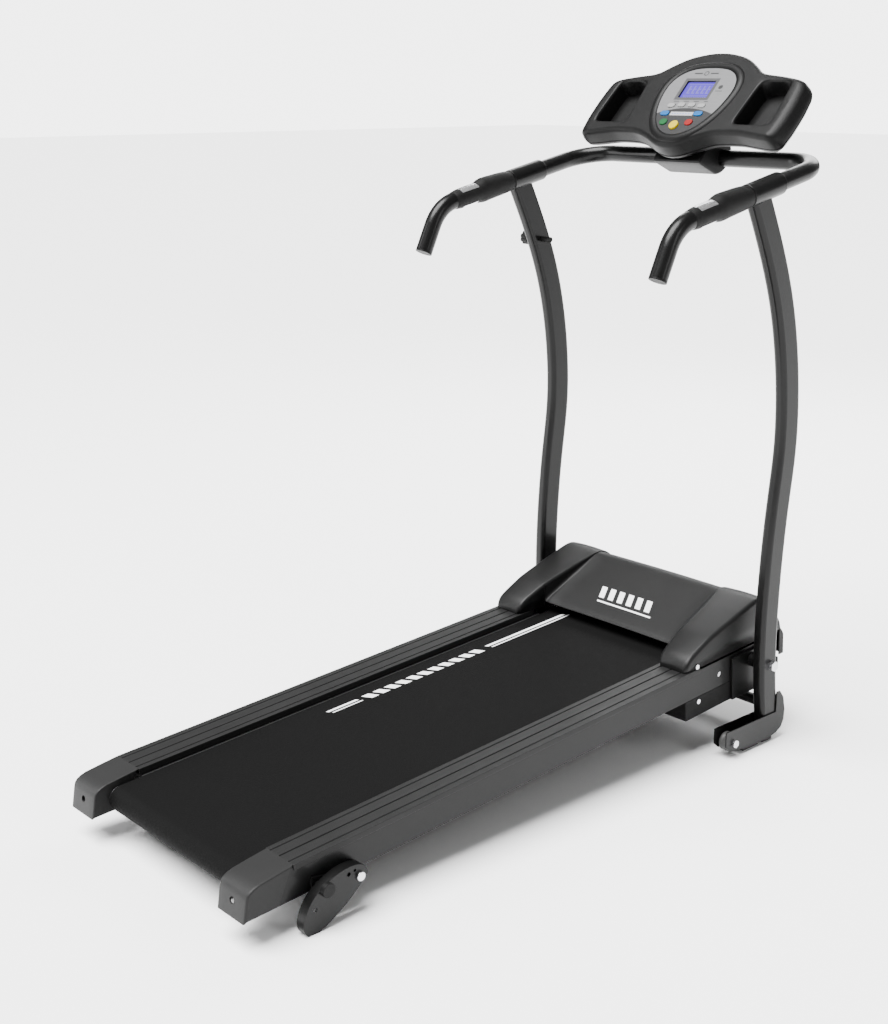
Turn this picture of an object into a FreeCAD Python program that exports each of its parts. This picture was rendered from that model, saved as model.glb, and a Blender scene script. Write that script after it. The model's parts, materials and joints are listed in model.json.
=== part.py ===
"""Folding electric treadmill, as a parametric FreeCAD document.

Row frame: +Z up, +Y towards the console, +X to the walker's right, millimetres.
Four working frames carry the pieces. Each is a place in the row frame and a tilt about X:
  base     on the floor, under the hinge between deck and uprights
  deck     at that hinge, sloping up towards the front
  handle   on the centreline of the handlebar's side runs, where the uprights meet it
  console  at the lower edge of the console's face, whose normal is local +Z
"""
import FreeCAD, Part
import math
import os
import re

import Sketcher
from FreeCAD import Placement, Rotation, Vector

SIZES = {
    # Where the working frames lie.
    "pivot_forward": 469.0,
    "pivot_height": 149.0,
    "deck_slope": 4.07,
    "handle_back": 94.0,
    "handle_height": 980.0,
    "handle_slope": 12.1,
    "console_back": 3.0,
    "console_height": 1056.0,
    "console_tilt": 46.2,
    # Clearances shared by the pieces that fit each other.
    "running_gap": 0.05,
    "slip_gap": 0.2,
    "side_gap": 0.4,
    # Deck: overall reach behind the hinge, and the two steel side rails.
    "deck_reach": 1107.0,
    "rail_face": 237.5,
    "rail_wall": 2.5,
    "rail_flange": 38.0,
    "rail_top": 24.0,
    "rail_bottom": -25.0,
    "rail_front": 78.0,
    # Foot rails: the ribbed extrusions that lie on the side rails.
    "foot_rail_inner": 172.0,
    "foot_rail_lip": 1.8,
    "foot_rail_plate": 4.0,
    "foot_rail_front": -140.0,
    "foot_rail_drop": 5.0,
    "groove_depth": 1.5,
    "groove_width": 3.0,
    "groove_pitch": 22.0,
    # Rear end caps.
    "cap_length": 89.0,
    "cap_face": 240.0,
    "cap_inner": 173.0,
    "cap_top": 28.6,
    "cap_bottom": -26.5,
    "cap_wall": 2.3,
    "cap_round": 9.0,
    "cap_rake": 28.0,
    "adjuster_x": 206.0,
    "adjuster_radius": 4.0,
    "adjuster_head": 6.5,
    "adjuster_length": 52.0,
    "adjuster_sight": 5.5,
    "adjuster_inset": 15.0,
    # Running surface.
    "board_top": 16.0,
    "board_thickness": 16.0,
    "board_half_width": 196.0,
    "belt_thickness": 1.8,
    "belt_half_width": 165.0,
    "roller_radius": 19.0,
    "roller_half_length": 168.0,
    "axle_radius": 5.0,
    "axle_half_length": 236.0,
    "rear_roller_inset": 49.0,
    "front_roller_y": -85.0,
    "board_roller_gap": 22.0,
    "cross_width": 30.0,
    "cross_height": 15.0,
    "cushion_thickness": 3.0,
    "cushion_x": 140.0,
    "cushion_length": 40.0,
    # Drive.
    "roller_pulley_radius": 22.0,
    "pulley_x": 187.0,
    "pulley_width": 16.0,
    "motor_y": 14.0,
    "motor_z": 8.0,
    "motor_radius": 42.0,
    "motor_length": 150.0,
    "motor_x": -40.0,
    "motor_pulley_radius": 14.0,
    "flywheel_radius": 38.0,
    "flywheel_width": 11.0,
    "shaft_radius": 6.0,
    "drive_belt_thickness": 2.5,
    # Motor hood and tray.
    "case_wall": 2.5,
    "hood_arm_back": -178.0,
    "hood_arm_inner": 150.0,
    "hood_arm_flare": 25.0,
    "hood_panel_back": -112.0,
    "hood_panel_lip": -92.0,
    "hood_ridge_y": 30.0,
    "hood_ridge_height": 109.0,
    "hood_front": 90.0,
    "bumper_reach": 10.0,
    "tray_back": -178.0,
    "tray_bottom": -62.0,
    "screw_radius": 4.5,
    "inlet_x": 120.0,
    "switch_x": 160.0,
    "inlet_z": -6.0,
    # Hinge between deck and uprights.
    "pivot_bolt_radius": 6.0,
    "pivot_head_radius": 10.0,
    "pivot_head_height": 9.0,
    "hinge_plate": 6.0,
    "hinge_boss_radius": 13.0,
    # Base.
    "upright_x": 273.5,
    "upright_width": 23.0,
    "upright_depth": 46.0,
    "upright_round": 8.0,
    "upright_wall": 2.0,
    "foot_wall": 2.2,
    "foot_floor": 9.0,
    "foot_back": -121.0,
    "foot_front": 46.0,
    "foot_rear_top": 54.0,
    "foot_upright_top": 55.0,
    "foot_nose_height": 93.0,
    "pad_x": 272.0,
    "pad_width": 16.0,
    "pad_length": 44.0,
    "pad_y": -40.0,
    "front_pad_length": 28.0,
    "front_pad_y": 8.0,
    "wheel_y": -98.0,
    "wheel_height": 28.0,
    "wheel_radius": 17.0,
    "wheel_width": 18.0,
    "wheel_axle_radius": 4.0,
    "cross_tube_radius": 10.0,
    "cross_tube_y": 57.0,
    "cross_tube_height": 46.0,
    # Lock for the folded deck.
    "lock_height": 863.0,
    "lock_radius": 5.0,
    "lock_knob_radius": 13.0,
    "lock_knob_width": 15.0,
    "lock_knob_gap": 9.0,
    "lock_tip": 240.5,
    # Handlebar.
    "bar_x": 272.0,
    "bar_radius": 15.0,
    "bar_wall": 2.0,
    "bar_front": 186.0,
    "bar_corner": 68.0,
    "bar_knee": -206.4,
    "bar_knee_radius": 72.0,
    "bar_end_y": -258.0,
    "bar_end_z": -68.4,
    "sleeve_back": -30.0,
    "sleeve_front": 52.0,
    "sleeve_wall": 4.0,
    "grip_back": -172.0,
    "grip_wall": 4.5,
    "grip_hump_back": -104.0,
    "grip_hump_height": 3.5,
    "plate_length": 44.0,
    "plate_thickness": 1.6,
    # Console.
    "console_half_width": 216.0,
    "console_corner_height": 136.0,
    "dome_half_width": 118.0,
    "dome_height": 202.0,
    "bulge_half_width": 60.0,
    "bulge_drop": 18.0,
    "console_depth": 30.0,
    "console_shell": 2.5,
    "back_inset": 16.0,
    "back_depth": 20.0,
    "tray_x_in_low": 120.0,
    "tray_x_in_high": 129.0,
    "tray_x_out_low": 198.0,
    "tray_x_out_high": 192.0,
    "tray_low": 35.0,
    "tray_high": 132.0,
    "tray_depth": 40.0,
    "neck_half_width": 54.0,
    "flank_bulge": 14.0,
    "panel_shift": 5.0,
    "panel_radius": 75.5,
    "panel_low": 4.0,
    "panel_high": 160.0,
    "panel_thickness": 1.2,
    "screen_width": 68.0,
    "screen_height": 43.0,
    "screen_y": 111.0,
    "button_rise": 2.0,
    "key_radius": 9.0,
    "key_height": 26.0,
    # Rear incline feet.
    "incline_bolt_inset": 184.6,
    "incline_bolt_z": -21.6,
    "incline_bolt_radius": 4.0,
    "incline_plate": 2.5,
    "incline_width": 20.0,
    "incline_slot_radius": 61.0,
    "incline_travel": 40.0,
    "incline_stud_angle": 174.0,
    "incline_stud_radius": 3.0,
    "detent_plate": 4.0,
    "clamp_knob_radius": 11.0,
    "clamp_knob_width": 9.0,
}

doc = FreeCAD.newDocument("treadmill")
sheet = doc.addObject("Spreadsheet::Sheet", "size")
for row, (alias, number) in enumerate(SIZES.items(), start=1):
    sheet.set(f"A{row}", alias)
    sheet.set(f"B{row}", str(number))
    sheet.setAlias(f"B{row}", alias)
doc.recompute()

SIDES = (("right", 1), ("left", -1))
AXES = {"X": Rotation(Vector(0, 1, 0), 90), "Y": Rotation(Vector(1, 0, 0), -90), "Z": Rotation()}
FRAMES = {
    "base": ("pivot_forward", "0", "0"),
    "deck": ("pivot_forward", "pivot_height", "deck_slope"),
    "handle": ("pivot_forward - handle_back", "handle_height", "handle_slope"),
    "console": ("pivot_forward - console_back", "console_height", "console_tilt"),
}
pieces = []


# Working with the sheet.

def linked(text):
    """Turn each size named in the text into a reference to its cell."""
    return re.sub(r"[a-z][a-z_]+", lambda word: "size." + word[0] if word[0] in SIZES else word[0], str(text))


def bind(thing, path, text):
    thing.setExpression(path, linked(text))


def size(text):
    """The number that a text of named sizes stands for, read from the sheet."""
    used = set(re.findall(r"[a-z][a-z_]+", text)) & set(SIZES)
    names = {alias: float(sheet.get(alias)) for alias in used}
    total = FreeCAD.Units.Quantity(re.sub(r"[a-z][a-z_]+", lambda word: f"({names[word[0]]:.9f})", text))
    return total.Value


def put(piece, label, frame):
    """Name a finished sub-part and lay it in its working frame."""
    if piece.TypeId in ("Part::Box", "Part::Cylinder"):
        piece = group(piece)
    y_text, z_text, turn_text = FRAMES[frame]
    piece.Label = label
    piece.Placement = Placement(Vector(), Rotation(Vector(1, 0, 0), 1))
    bind(piece, ".Placement.Base.y", y_text)
    bind(piece, ".Placement.Base.z", z_text)
    bind(piece, ".Placement.Rotation.Angle", f"({turn_text}) * 1 deg")
    pieces.append(piece)
    return piece


# Primitives and booleans.

def box(lengths, centre):
    """A block of the given lengths about a centre."""
    solid = doc.addObject("Part::Box", "block")
    for name, length, axis, middle in zip(("Length", "Width", "Height"), lengths, "xyz", centre):
        bind(solid, name, length)
        bind(solid, ".Placement.Base." + axis, f"({middle}) - ({length}) / 2")
    return solid


def span(low, high):
    """A block between two opposite corners."""
    solid = doc.addObject("Part::Box", "block")
    for name, start, end, axis in zip(("Length", "Width", "Height"), low, high, "xyz"):
        bind(solid, name, f"({end}) - ({start})")
        bind(solid, ".Placement.Base." + axis, start)
    return solid


def rod(radius, start, length, axis="X", angle="360", turn=None):
    """A cylinder, or a sector of one, from a start point along an axis."""
    solid = doc.addObject("Part::Cylinder", "rod")
    solid.Placement = Placement(Vector(), turn or AXES[axis])
    bind(solid, "Radius", radius)
    bind(solid, "Height", length)
    bind(solid, "Angle", angle)
    for letter, text in zip("xyz", start):
        bind(solid, ".Placement.Base." + letter, text)
    return solid


def hexagon(radius, start, length):
    """A hexagonal head or nut along X."""
    solid = doc.addObject("Part::Prism", "hexagon")
    solid.Polygon = 6
    solid.Placement = Placement(Vector(), AXES["X"])
    bind(solid, "Circumradius", radius)
    bind(solid, "Height", length)
    for letter, text in zip("xyz", start):
        bind(solid, ".Placement.Base." + letter, text)
    return solid


def fuse(*solids):
    joined = doc.addObject("Part::MultiFuse", "fused")
    joined.Shapes = list(solids)
    joined.Refine = True
    return joined


def group(*solids):
    together = doc.addObject("Part::Compound", "group")
    together.Links = list(solids)
    return together


def cut(base, *tools):
    result = doc.addObject("Part::Cut", "cut")
    result.Base = base
    result.Tool = tools[0] if len(tools) == 1 else group(*tools)
    return result


def shaped(solid):
    """A piece whose outline neither sketches nor primitives give."""
    feature = doc.addObject("Part::Feature", "shaped")
    feature.Shape = solid
    return feature


# Bodies built from sketches.

def sketch(body, plane, loops, circles=(), offset="0"):
    """A fully constrained sketch on one of the body's own planes, its points bound to the sheet."""
    drawing = body.newObject("Sketcher::SketchObject", "outline")
    support = [item for item in body.Origin.OriginFeatures if item.Role == plane + "_Plane"]
    drawing.AttachmentSupport = [(support[0], "")]
    drawing.MapMode = "FlatFace"
    bind(drawing, ".AttachmentOffset.Base.z", offset)
    for loop in loops:
        spots = [Vector(size(x_text), size(y_text), 0) for x_text, y_text in loop]
        first = drawing.GeometryCount
        count = len(loop)
        for number in range(count):
            drawing.addGeometry(Part.LineSegment(spots[number], spots[(number + 1) % count]))
        for number in range(count):
            following = first + (number + 1) % count
            drawing.addConstraint(Sketcher.Constraint("Coincident", first + number, 2, following, 1))
        for number, texts in enumerate(loop):
            pin_down(drawing, first + number, 1, texts, spots[number])
    for x_text, y_text, radius in circles:
        spot = Vector(size(x_text), size(y_text), 0)
        ring = drawing.addGeometry(Part.Circle(spot, Vector(0, 0, 1), size(radius)))
        rule = drawing.addConstraint(Sketcher.Constraint("Radius", ring, size(radius)))
        bind(drawing, f"Constraints[{rule}]", radius)
        pin_down(drawing, ring, 3, (x_text, y_text), spot)
    return drawing


def pin_down(drawing, geometry, end, texts, spot):
    for kind, text, number in zip(("DistanceX", "DistanceY"), texts, (spot.x, spot.y)):
        rule = drawing.addConstraint(Sketcher.Constraint(kind, -1, 1, geometry, end, number))
        bind(drawing, f"Constraints[{rule}]", text)


def new_body():
    return doc.addObject("PartDesign::Body", "body")


def pad(body, drawing, length, midplane=True):
    feature = body.newObject("PartDesign::Pad", "pad")
    feature.Profile = drawing
    feature.Midplane = midplane
    bind(feature, "Length", length)
    doc.recompute()
    return feature


def pocket(body, drawing, length):
    """Cut a sketch out to both sides of its plane, and check that it cut something."""
    before = body.Shape.Volume
    feature = body.newObject("PartDesign::Pocket", "pocket")
    feature.Profile = drawing
    feature.Midplane = True
    bind(feature, "Length", length)
    doc.recompute()
    if body.Shape.Volume > before - 0.01:
        raise RuntimeError("a pocket cut nothing in " + body.Name)
    return feature


def fillet(body, radius, wanted):
    """Round the edges that the test picks out."""
    base = body.Tip
    names = [f"Edge{number}" for number, edge in enumerate(base.Shape.Edges, start=1) if wanted(edge)]
    if not names:
        raise RuntimeError("no edge to round in " + body.Name)
    feature = body.newObject("PartDesign::Fillet", "round")
    feature.Base = (base, names)
    bind(feature, "Radius", radius)
    doc.recompute()
    return feature


def runs_along(edge, axis):
    way = edge.Vertexes[-1].Point - edge.Vertexes[0].Point
    return way.Length > 0.1 and abs(getattr(way, axis)) > 0.999 * way.Length


# Outlines made with Part's own functions.

def rounded_path(points, radii):
    """Straight runs joined by tangent arcs, one radius for each inner point."""
    edges = []
    start = points[0]
    for before, corner, after, radius in zip(points, points[1:], points[2:], radii):
        back = (before - corner).normalize()
        ahead = (after - corner).normalize()
        half_turn = (math.pi - back.getAngle(ahead)) / 2
        reach = radius * math.tan(half_turn)
        bisector = (back + ahead).normalize()
        centre = corner + bisector * (radius / math.cos(half_turn))
        enter, leave = corner + back * reach, corner + ahead * reach
        edges.append(Part.LineSegment(start, enter).toShape())
        edges.append(Part.Arc(enter, centre - bisector * radius, leave).toShape())
        start = leave
    edges.append(Part.LineSegment(start, points[-1]).toShape())
    return Part.Wire(edges)


def rounded_rectangle(width, depth, radius, centre):
    """A rectangle in the XY plane with round corners."""
    half_x, half_y = width / 2 - radius, depth / 2 - radius
    edges = []
    corners = ((half_x, half_y, 0), (-half_x, half_y, 90), (-half_x, -half_y, 180), (half_x, -half_y, 270))
    arcs = []
    for x, y, angle in corners:
        middle = centre + Vector(x, y, 0)
        spokes = [Vector(math.cos(math.radians(angle + part)), math.sin(math.radians(angle + part)), 0)
                  for part in (0, 45, 90)]
        arcs.append(Part.Arc(*[middle + spoke * radius for spoke in spokes]))
    for number, arc in enumerate(arcs):
        edges.append(arc.toShape())
        edges.append(Part.LineSegment(arc.EndPoint, arcs[(number + 1) % 4].StartPoint).toShape())
    return Part.Wire(edges)


def tube_along(path, outer, wall):
    """A round tube swept along a path."""
    start = path.Edges[0].Vertexes[0].Point
    way = path.Edges[0].tangentAt(path.Edges[0].FirstParameter)
    skins = []
    for radius in (outer, outer - wall):
        ring = Part.Wire(Part.Circle(start, way, radius).toShape())
        skins.append(path.makePipeShell([ring], True, True))
    return skins[0].cut(skins[1])


def prism(points, low, high):
    """A closed outline in Y and Z, drawn out along X."""
    corners = [Vector(low, y, z) for y, z in points]
    face = Part.Face(Part.makePolygon(corners + corners[:1]))
    return face.extrude(Vector(high - low, 0, 0))


# Base: feet, cross tube, uprights.

def build_feet():
    """Folded channels: a fork for the wheel behind, a nose in front of the upright."""
    for name, side in SIDES:
        body = new_body()
        centre = f"{side} * upright_x"
        outline = [
            ("foot_back", "foot_rear_top"), ("foot_back", "foot_floor + 17"),
            ("foot_back + 12", "foot_floor + 7"), ("wheel_y + 36", "foot_floor"),
            ("0", "foot_floor"), ("foot_front - 22", "foot_floor + 5"),
            ("foot_front - 8", "foot_floor + 13"), ("foot_front - 2", "foot_floor + 24"),
            ("foot_front", "foot_floor + 44"), ("foot_front - 6", "foot_nose_height - 14"),
            ("foot_front - 17", "foot_nose_height"), ("foot_front - 26", "foot_nose_height"),
            ("foot_front - 26", "foot_upright_top"),
        ]
        room = "upright_width + 2 * slip_gap"
        pad(body, sketch(body, "YZ", [outline], offset=centre), room + " + 2 * foot_wall")
        channel = [
            ("foot_back - 1", "foot_floor + foot_wall"), ("-1", "foot_floor + foot_wall"),
            ("foot_front - 23", "foot_floor + 5 + foot_wall"),
            ("foot_front - 10", "foot_floor + 13 + foot_wall"),
            ("foot_front - 3 - foot_wall", "foot_floor + 26"), ("foot_front - foot_wall", "foot_floor + 44"),
            ("foot_front - foot_wall - 7", "foot_nose_height + 1"), ("foot_back - 1", "foot_nose_height + 1"),
        ]
        pocket(body, sketch(body, "YZ", [channel], offset=centre), room)
        holes = [("wheel_y", "wheel_height", "wheel_axle_radius + running_gap")]
        pocket(body, sketch(body, "YZ", [], holes, offset=centre), "upright_width + 4 * foot_wall")
        put(body, f"{name}_foot", "base")


def build_base_fittings():
    pads = []
    for side in (1, -1):
        for length, y in (("pad_length", "pad_y"), ("front_pad_length", "front_pad_y")):
            pads.append(box(("pad_width", length, "foot_floor"), (f"{side} * pad_x", y, "foot_floor / 2")))
    put(group(*pads), "foot_pads", "base")
    inner_face = "upright_x - upright_width / 2 - slip_gap - foot_wall"
    tube = rod("cross_tube_radius", (f"-({inner_face}) + 6", "cross_tube_y", "cross_tube_height"),
               f"2 * ({inner_face}) - 12")
    straps = []
    lengths = ("6", "cross_tube_y - foot_front + 34", "2 * cross_tube_radius")
    for side in (1, -1):
        across = f"{side} * ({inner_face} - 3 - slip_gap / 2)"
        straps.append(box(lengths, (across, "(cross_tube_y + foot_front - 14) / 2", "cross_tube_height")))
    put(fuse(tube, *straps), "base_cross_tube", "base")


def upright_line():
    """Centreline of an upright: an S in the side view, from the foot up into the sleeve."""
    spots = [(12.0, 25.0), (-4.5, 306.0), (7.0, 449.0), (16.5, 537.0), (15.0, 625.0), (3.0, 713.0),
             (-19.0, 799.0), (-45.5, 867.0), (-69.0, 917.0),
             (-size("handle_back"), size("handle_height") - 14)]
    curve = Part.BSplineCurve()
    curve.interpolate([Vector(0, y, z) for y, z in spots])
    return curve


def upright_y(height):
    """How far forward the upright's centre is at a height."""
    line = upright_line()
    level = Part.Plane(Vector(0, 0, height), Vector(0, 0, 1))
    return line.intersect(level)[0][0].Y


def sleeve_volume(side):
    """The space of the handlebar sleeve, in the base frame, to which the upright's end is coped."""
    rise = math.radians(size("handle_slope"))
    along = Vector(0, math.cos(rise), math.sin(rise))
    middle = Vector(side * size("bar_x"), -size("handle_back"), size("handle_height"))
    return Part.makeCylinder(size("bar_radius + sleeve_wall"), 300, middle - along * 150, along)


def build_uprights():
    line = upright_line()
    path = Part.Wire(line.toShape())
    start = line.value(line.FirstParameter)
    width, depth, wall = size("upright_width"), size("upright_depth"), size("upright_wall")
    for name, side in SIDES:
        shift = Vector(side * size("upright_x"), 0, 0)
        skins = []
        for thinner in (0, wall):
            section = rounded_rectangle(width - 2 * thinner, depth - 2 * thinner,
                                        size("upright_round") - thinner, start)
            skins.append(path.makePipeShell([section], True, False))
        tube = skins[0].cut(skins[1])
        tube.translate(shift)
        bolt = Part.makeCylinder(size("pivot_bolt_radius + running_gap"), 2 * width,
                                 Vector(shift.x - width, 0, size("pivot_height")), Vector(1, 0, 0))
        tube = tube.cut(bolt).cut(sleeve_volume(side))
        if side < 0:
            height = size("lock_height")
            start = Vector(shift.x - width, upright_y(height), height)
            radius = size("lock_radius + running_gap")
            tube = tube.cut(Part.makeCylinder(radius, 2 * width, start, Vector(1, 0, 0)))
        put(shaped(tube), f"{name}_upright", "base")


def build_pivot_bolts():
    """Two hexagon-head bolts; the nut's end is a larger hexagon inside the rail."""
    bolts = []
    outer = "upright_x + upright_width / 2"
    end = "rail_face - rail_wall - 10"
    for side in (1, -1):
        low = f"{side} * ({outer})" if side < 0 else end
        shank = rod("pivot_bolt_radius", (low, "0", "pivot_height"), f"{outer} - ({end})")
        head_at = outer if side > 0 else f"-({outer}) - pivot_head_height"
        head = hexagon("pivot_head_radius", (head_at, "0", "pivot_height"), "pivot_head_height")
        nut_at = end if side > 0 else f"-({end}) - 8"
        nut = hexagon("pivot_head_radius", (nut_at, "0", "pivot_height"), "8")
        bolts.append(fuse(shank, head, nut))
    put(group(*bolts), "pivot_bolts", "base")


def build_wheels():
    axles = []
    reach = "upright_width / 2 + slip_gap + foot_wall"
    for name, side in SIDES:
        middle = f"{side} * upright_x"
        place = ("wheel_y", "wheel_height")
        tyre = rod("wheel_radius", (f"{middle} - wheel_width / 2", *place), "wheel_width")
        bore = rod("wheel_axle_radius + running_gap", (f"{middle} - wheel_width", *place), "2 * wheel_width")
        wheel = cut(tyre, bore)
        put(wheel, f"{name}_transport_wheel", "base")
        shank = rod("wheel_axle_radius", (f"{middle} - ({reach})", *place), f"2 * ({reach})")
        outside = f"{middle} + {reach}" if side > 0 else f"{middle} - ({reach}) - 5"
        inside = f"{middle} - ({reach}) - 5" if side > 0 else f"{middle} + {reach}"
        axles.append(fuse(shank, hexagon("7.5", (outside, *place), "5"), hexagon("7", (inside, *place), "5")))
    put(group(*axles), "wheel_axles", "base")


def build_lock():
    """A bolt with a moulded knob; pushed in, its tip enters the folded deck's left rail."""
    face = size("upright_x + upright_width / 2")
    place = (upright_y(size("lock_height")), size("lock_height"))
    knob_inner = -face - size("lock_knob_gap")
    width, radius = size("lock_knob_width"), size("lock_knob_radius")
    across, reach = Vector(1, 0, 0), -size("lock_tip") - knob_inner
    pin = Part.makeCylinder(size("lock_radius"), reach, Vector(knob_inner, *place), across)
    knob = Part.makeCylinder(radius, width, Vector(knob_inner - width, *place), across)
    flutes = 8
    for number in range(flutes):
        angle = 2 * math.pi * number / flutes
        spot = Vector(knob_inner - width - 1, place[0] + (radius + 2) * math.cos(angle),
                      place[1] + (radius + 2) * math.sin(angle))
        knob = knob.cut(Part.makeCylinder(3.5, width + 2, spot, across))
    put(shaped(knob.fuse(pin).removeSplitter()), "lock_bolt", "base")


# Handlebar, sleeves, grips.

def build_handlebar():
    side, front = size("bar_x"), size("bar_front")
    knee, end_y, end_z = size("bar_knee"), size("bar_end_y"), size("bar_end_z")
    half = [(side, end_y, end_z), (side, knee, 0), (side, front, 0)]
    points = [Vector(*spot) for spot in half] + [Vector(-x, y, z) for x, y, z in reversed(half)]
    knees, corners = size("bar_knee_radius"), size("bar_corner")
    path = rounded_path(points, (knees, corners, corners, knees))
    put(shaped(tube_along(path, size("bar_radius"), size("bar_wall"))), "handlebar", "handle")
    way = (points[0] - points[1]).normalize()
    plugs = []
    for mark in (1, -1):
        end = Vector(mark * side, end_y, end_z)
        flange = Part.makeCylinder(size("bar_radius"), 3, end, way)
        stem = Part.makeCylinder(size("bar_radius - bar_wall - slip_gap"), 12, end, way * -1)
        plugs.append(flange.fuse(stem))
    put(shaped(Part.makeCompound(plugs)), "handle_end_plugs", "handle")


def build_sleeves():
    sleeves = []
    for side in (1, -1):
        middle = f"{side} * bar_x"
        length = "sleeve_front - sleeve_back"
        hoop = rod("bar_radius + sleeve_wall", (middle, "sleeve_back", "0"), length, "Y")
        bore = rod("bar_radius + slip_gap", (middle, "sleeve_back - 1", "0"), length + " + 2", "Y")
        sleeves.append(cut(hoop, bore))
    put(group(*sleeves), "handle_sleeves", "handle")


def build_grips():
    grips, plates = [], []
    outer = "bar_radius + grip_wall"
    front = "sleeve_back - side_gap"
    for side in (1, -1):
        middle = f"{side} * bar_x"
        hoop = rod(outer, (middle, "grip_back", "0"), f"{front} - grip_back", "Y")
        hump = span((f"{middle} - 9", "grip_hump_back", "0"),
                    (f"{middle} + 9", f"{front} - 6", f"{outer} + grip_hump_height"))
        bore = rod("bar_radius + slip_gap", (middle, "grip_back - 1", "0"), f"{front} - grip_back + 2", "Y")
        seats = []
        along = "grip_hump_back - 8 - plate_length / 2"
        for up in (1, -1):
            skin, seat = (f"{up} * ({outer} - plate_thickness{part})" for part in (" / 2", ""))
            room = ("20", "plate_length + 2 * slip_gap", "plate_thickness * 2")
            seats.append(box(room, (middle, along, skin)))
            plate = ("20 - 2 * slip_gap", "plate_length", "plate_thickness")
            plates.append(box(plate, (middle, along, seat)))
        grips.append(cut(fuse(hoop, hump), bore, *seats))
    put(group(*grips), "pulse_grips", "handle")
    put(group(*plates), "pulse_plates", "handle")


# Console.

def console_outline(grow, flank=0.0):
    """Right half of the console's outline, x against height up the slope.

    All of it moves outwards by grow; the end of the wing also moves out by flank.
    """
    width = size("console_half_width") + grow + flank
    corner = size("console_corner_height") + grow
    dome, dome_top = size("dome_half_width") + grow / 2, size("dome_height") + grow
    bulge, drop = size("bulge_half_width"), size("bulge_drop") + grow
    return [
        (0, -drop), (0.45 * bulge, -0.75 * drop), (0.85 * bulge, 1 - grow), (1.4 * bulge, 13 - grow),
        (2.2 * bulge, 14 - grow), (width - 14, 2 - grow), (width - 3, 9 - grow), (width + 2, 45),
        (width + 2, 90), (width - 5, corner - 8), (width - 15, corner), (width - 50, corner + 9),
        (dome, dome_top - 50), (0.82 * dome, dome_top - 32), (0.56 * dome, dome_top - 12),
        (0.24 * dome, dome_top - 2), (0, dome_top),
    ]


def console_skin(layers):
    """A solid through console outlines, each given by its growth, its flank and its depth."""
    wires = []
    for grow, flank, depth in layers:
        half = console_outline(grow, flank)
        spots = half + [(-x, y) for x, y in reversed(half[1:-1])]
        corners = [Vector(x, y, depth) for x, y in spots]
        wires.append(Part.makePolygon(corners + corners[:1]))
    return Part.makeLoft(wires, True, True)


def tray_block(side, grow, low, high):
    corners = [("tray_x_in_low", "tray_low", -grow, -grow), ("tray_x_out_low", "tray_low", grow, -grow),
               ("tray_x_out_high", "tray_high", grow, grow), ("tray_x_in_high", "tray_high", -grow, grow)]
    spots = [Vector(side * (size(x) + out), size(y) + up, low) for x, y, out, up in corners]
    face = Part.Face(Part.makePolygon(spots + spots[:1]))
    return face.extrude(Vector(0, 0, high - low))


def build_console_shells():
    depth, shell, tray = size("console_depth"), size("console_shell"), size("tray_depth")
    flank = size("flank_bulge")
    outer = console_skin(((0, 0, 0), (0, 0.65 * flank, -0.25 * depth), (0, flank, -0.7 * depth),
                          (0, 0.9 * flank, -depth)))
    hollow = console_skin(((-shell, 0, -shell), (-shell, 0.65 * flank, -0.35 * depth),
                           (-shell, flank, -0.7 * depth), (-shell, 0.9 * flank, -depth - 1)))
    front = outer.cut(hollow)
    for _, side in SIDES:
        front = front.fuse(tray_block(side, shell, -tray, -shell / 2))
        front = front.cut(tray_block(side, 0, -tray + shell, 1))
    front = front.cut(button_holes())
    window = Vector(-size("screen_width") / 2 + 3, size("screen_y - screen_height / 2") + 3, -shell - 1)
    front = front.cut(Part.makeBox(size("screen_width") - 6, size("screen_height") - 6, shell + 2, window))
    front = front.cut(Part.makeCylinder(size("key_radius") + 0.3, 1.6, Vector(*key_place(), -1.6)))
    put(shaped(front.removeSplitter()), "console_front_shell", "console")

    inset, reach, gap = size("back_inset"), size("back_depth"), size("slip_gap")
    floor = -depth - reach
    waist = -depth - 0.4 * reach
    back = console_skin(((-1, 0.7 * flank, -depth - gap), (-0.4 * inset, 0, waist), (-inset, 0, floor)))
    back = back.cut(console_skin(((-1 - shell, 0.7 * flank, -depth), (-0.4 * inset - shell, 0, waist),
                                  (-inset - shell, 0, floor + shell))))
    for _, side in SIDES:
        back = back.cut(tray_block(side, shell + gap, -tray - gap, 1))
    width, (y_bar, z_bar) = size("neck_half_width"), bar_in_console()
    bar_hole = Part.makeCylinder(size("bar_radius") + gap, 300, Vector(-150, y_bar, z_bar), Vector(1, 0, 0))
    upper = Part.makeBox(300, 300, 200, Vector(-150, -100, z_bar))
    neck = neck_block(width, 0).cut(neck_block(width - 3 * shell, 3 * shell))
    solid_neck = neck.fuse(neck_block(width, 0).common(saddle_zone(y_bar, z_bar)))
    back = back.fuse(solid_neck.common(upper)).cut(bar_hole)
    saddle = neck_block(width, 0).cut(upper).cut(bar_hole)
    screws = []
    for x in (-40, 40):
        for across in (-24, 21):
            foot = Vector(x, y_bar + across, z_bar - 8)
            screws.append(Part.makeCylinder(2.0, 18, foot).fuse(Part.makeCylinder(3.6, 2.4, foot)))
            bore = Part.makeCylinder(2.0 + size("running_gap"), 19, foot)
            seat = Part.makeCylinder(3.8, 40, foot - Vector(0, 0, 37.6))
            saddle = saddle.cut(seat).cut(bore)
            back = back.cut(bore)
    put(shaped(Part.makeCompound(screws)), "console_screws", "console")
    put(shaped(back.removeSplitter()), "console_back_shell", "console")
    put(shaped(saddle.removeSplitter()), "console_clamp", "console")


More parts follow.
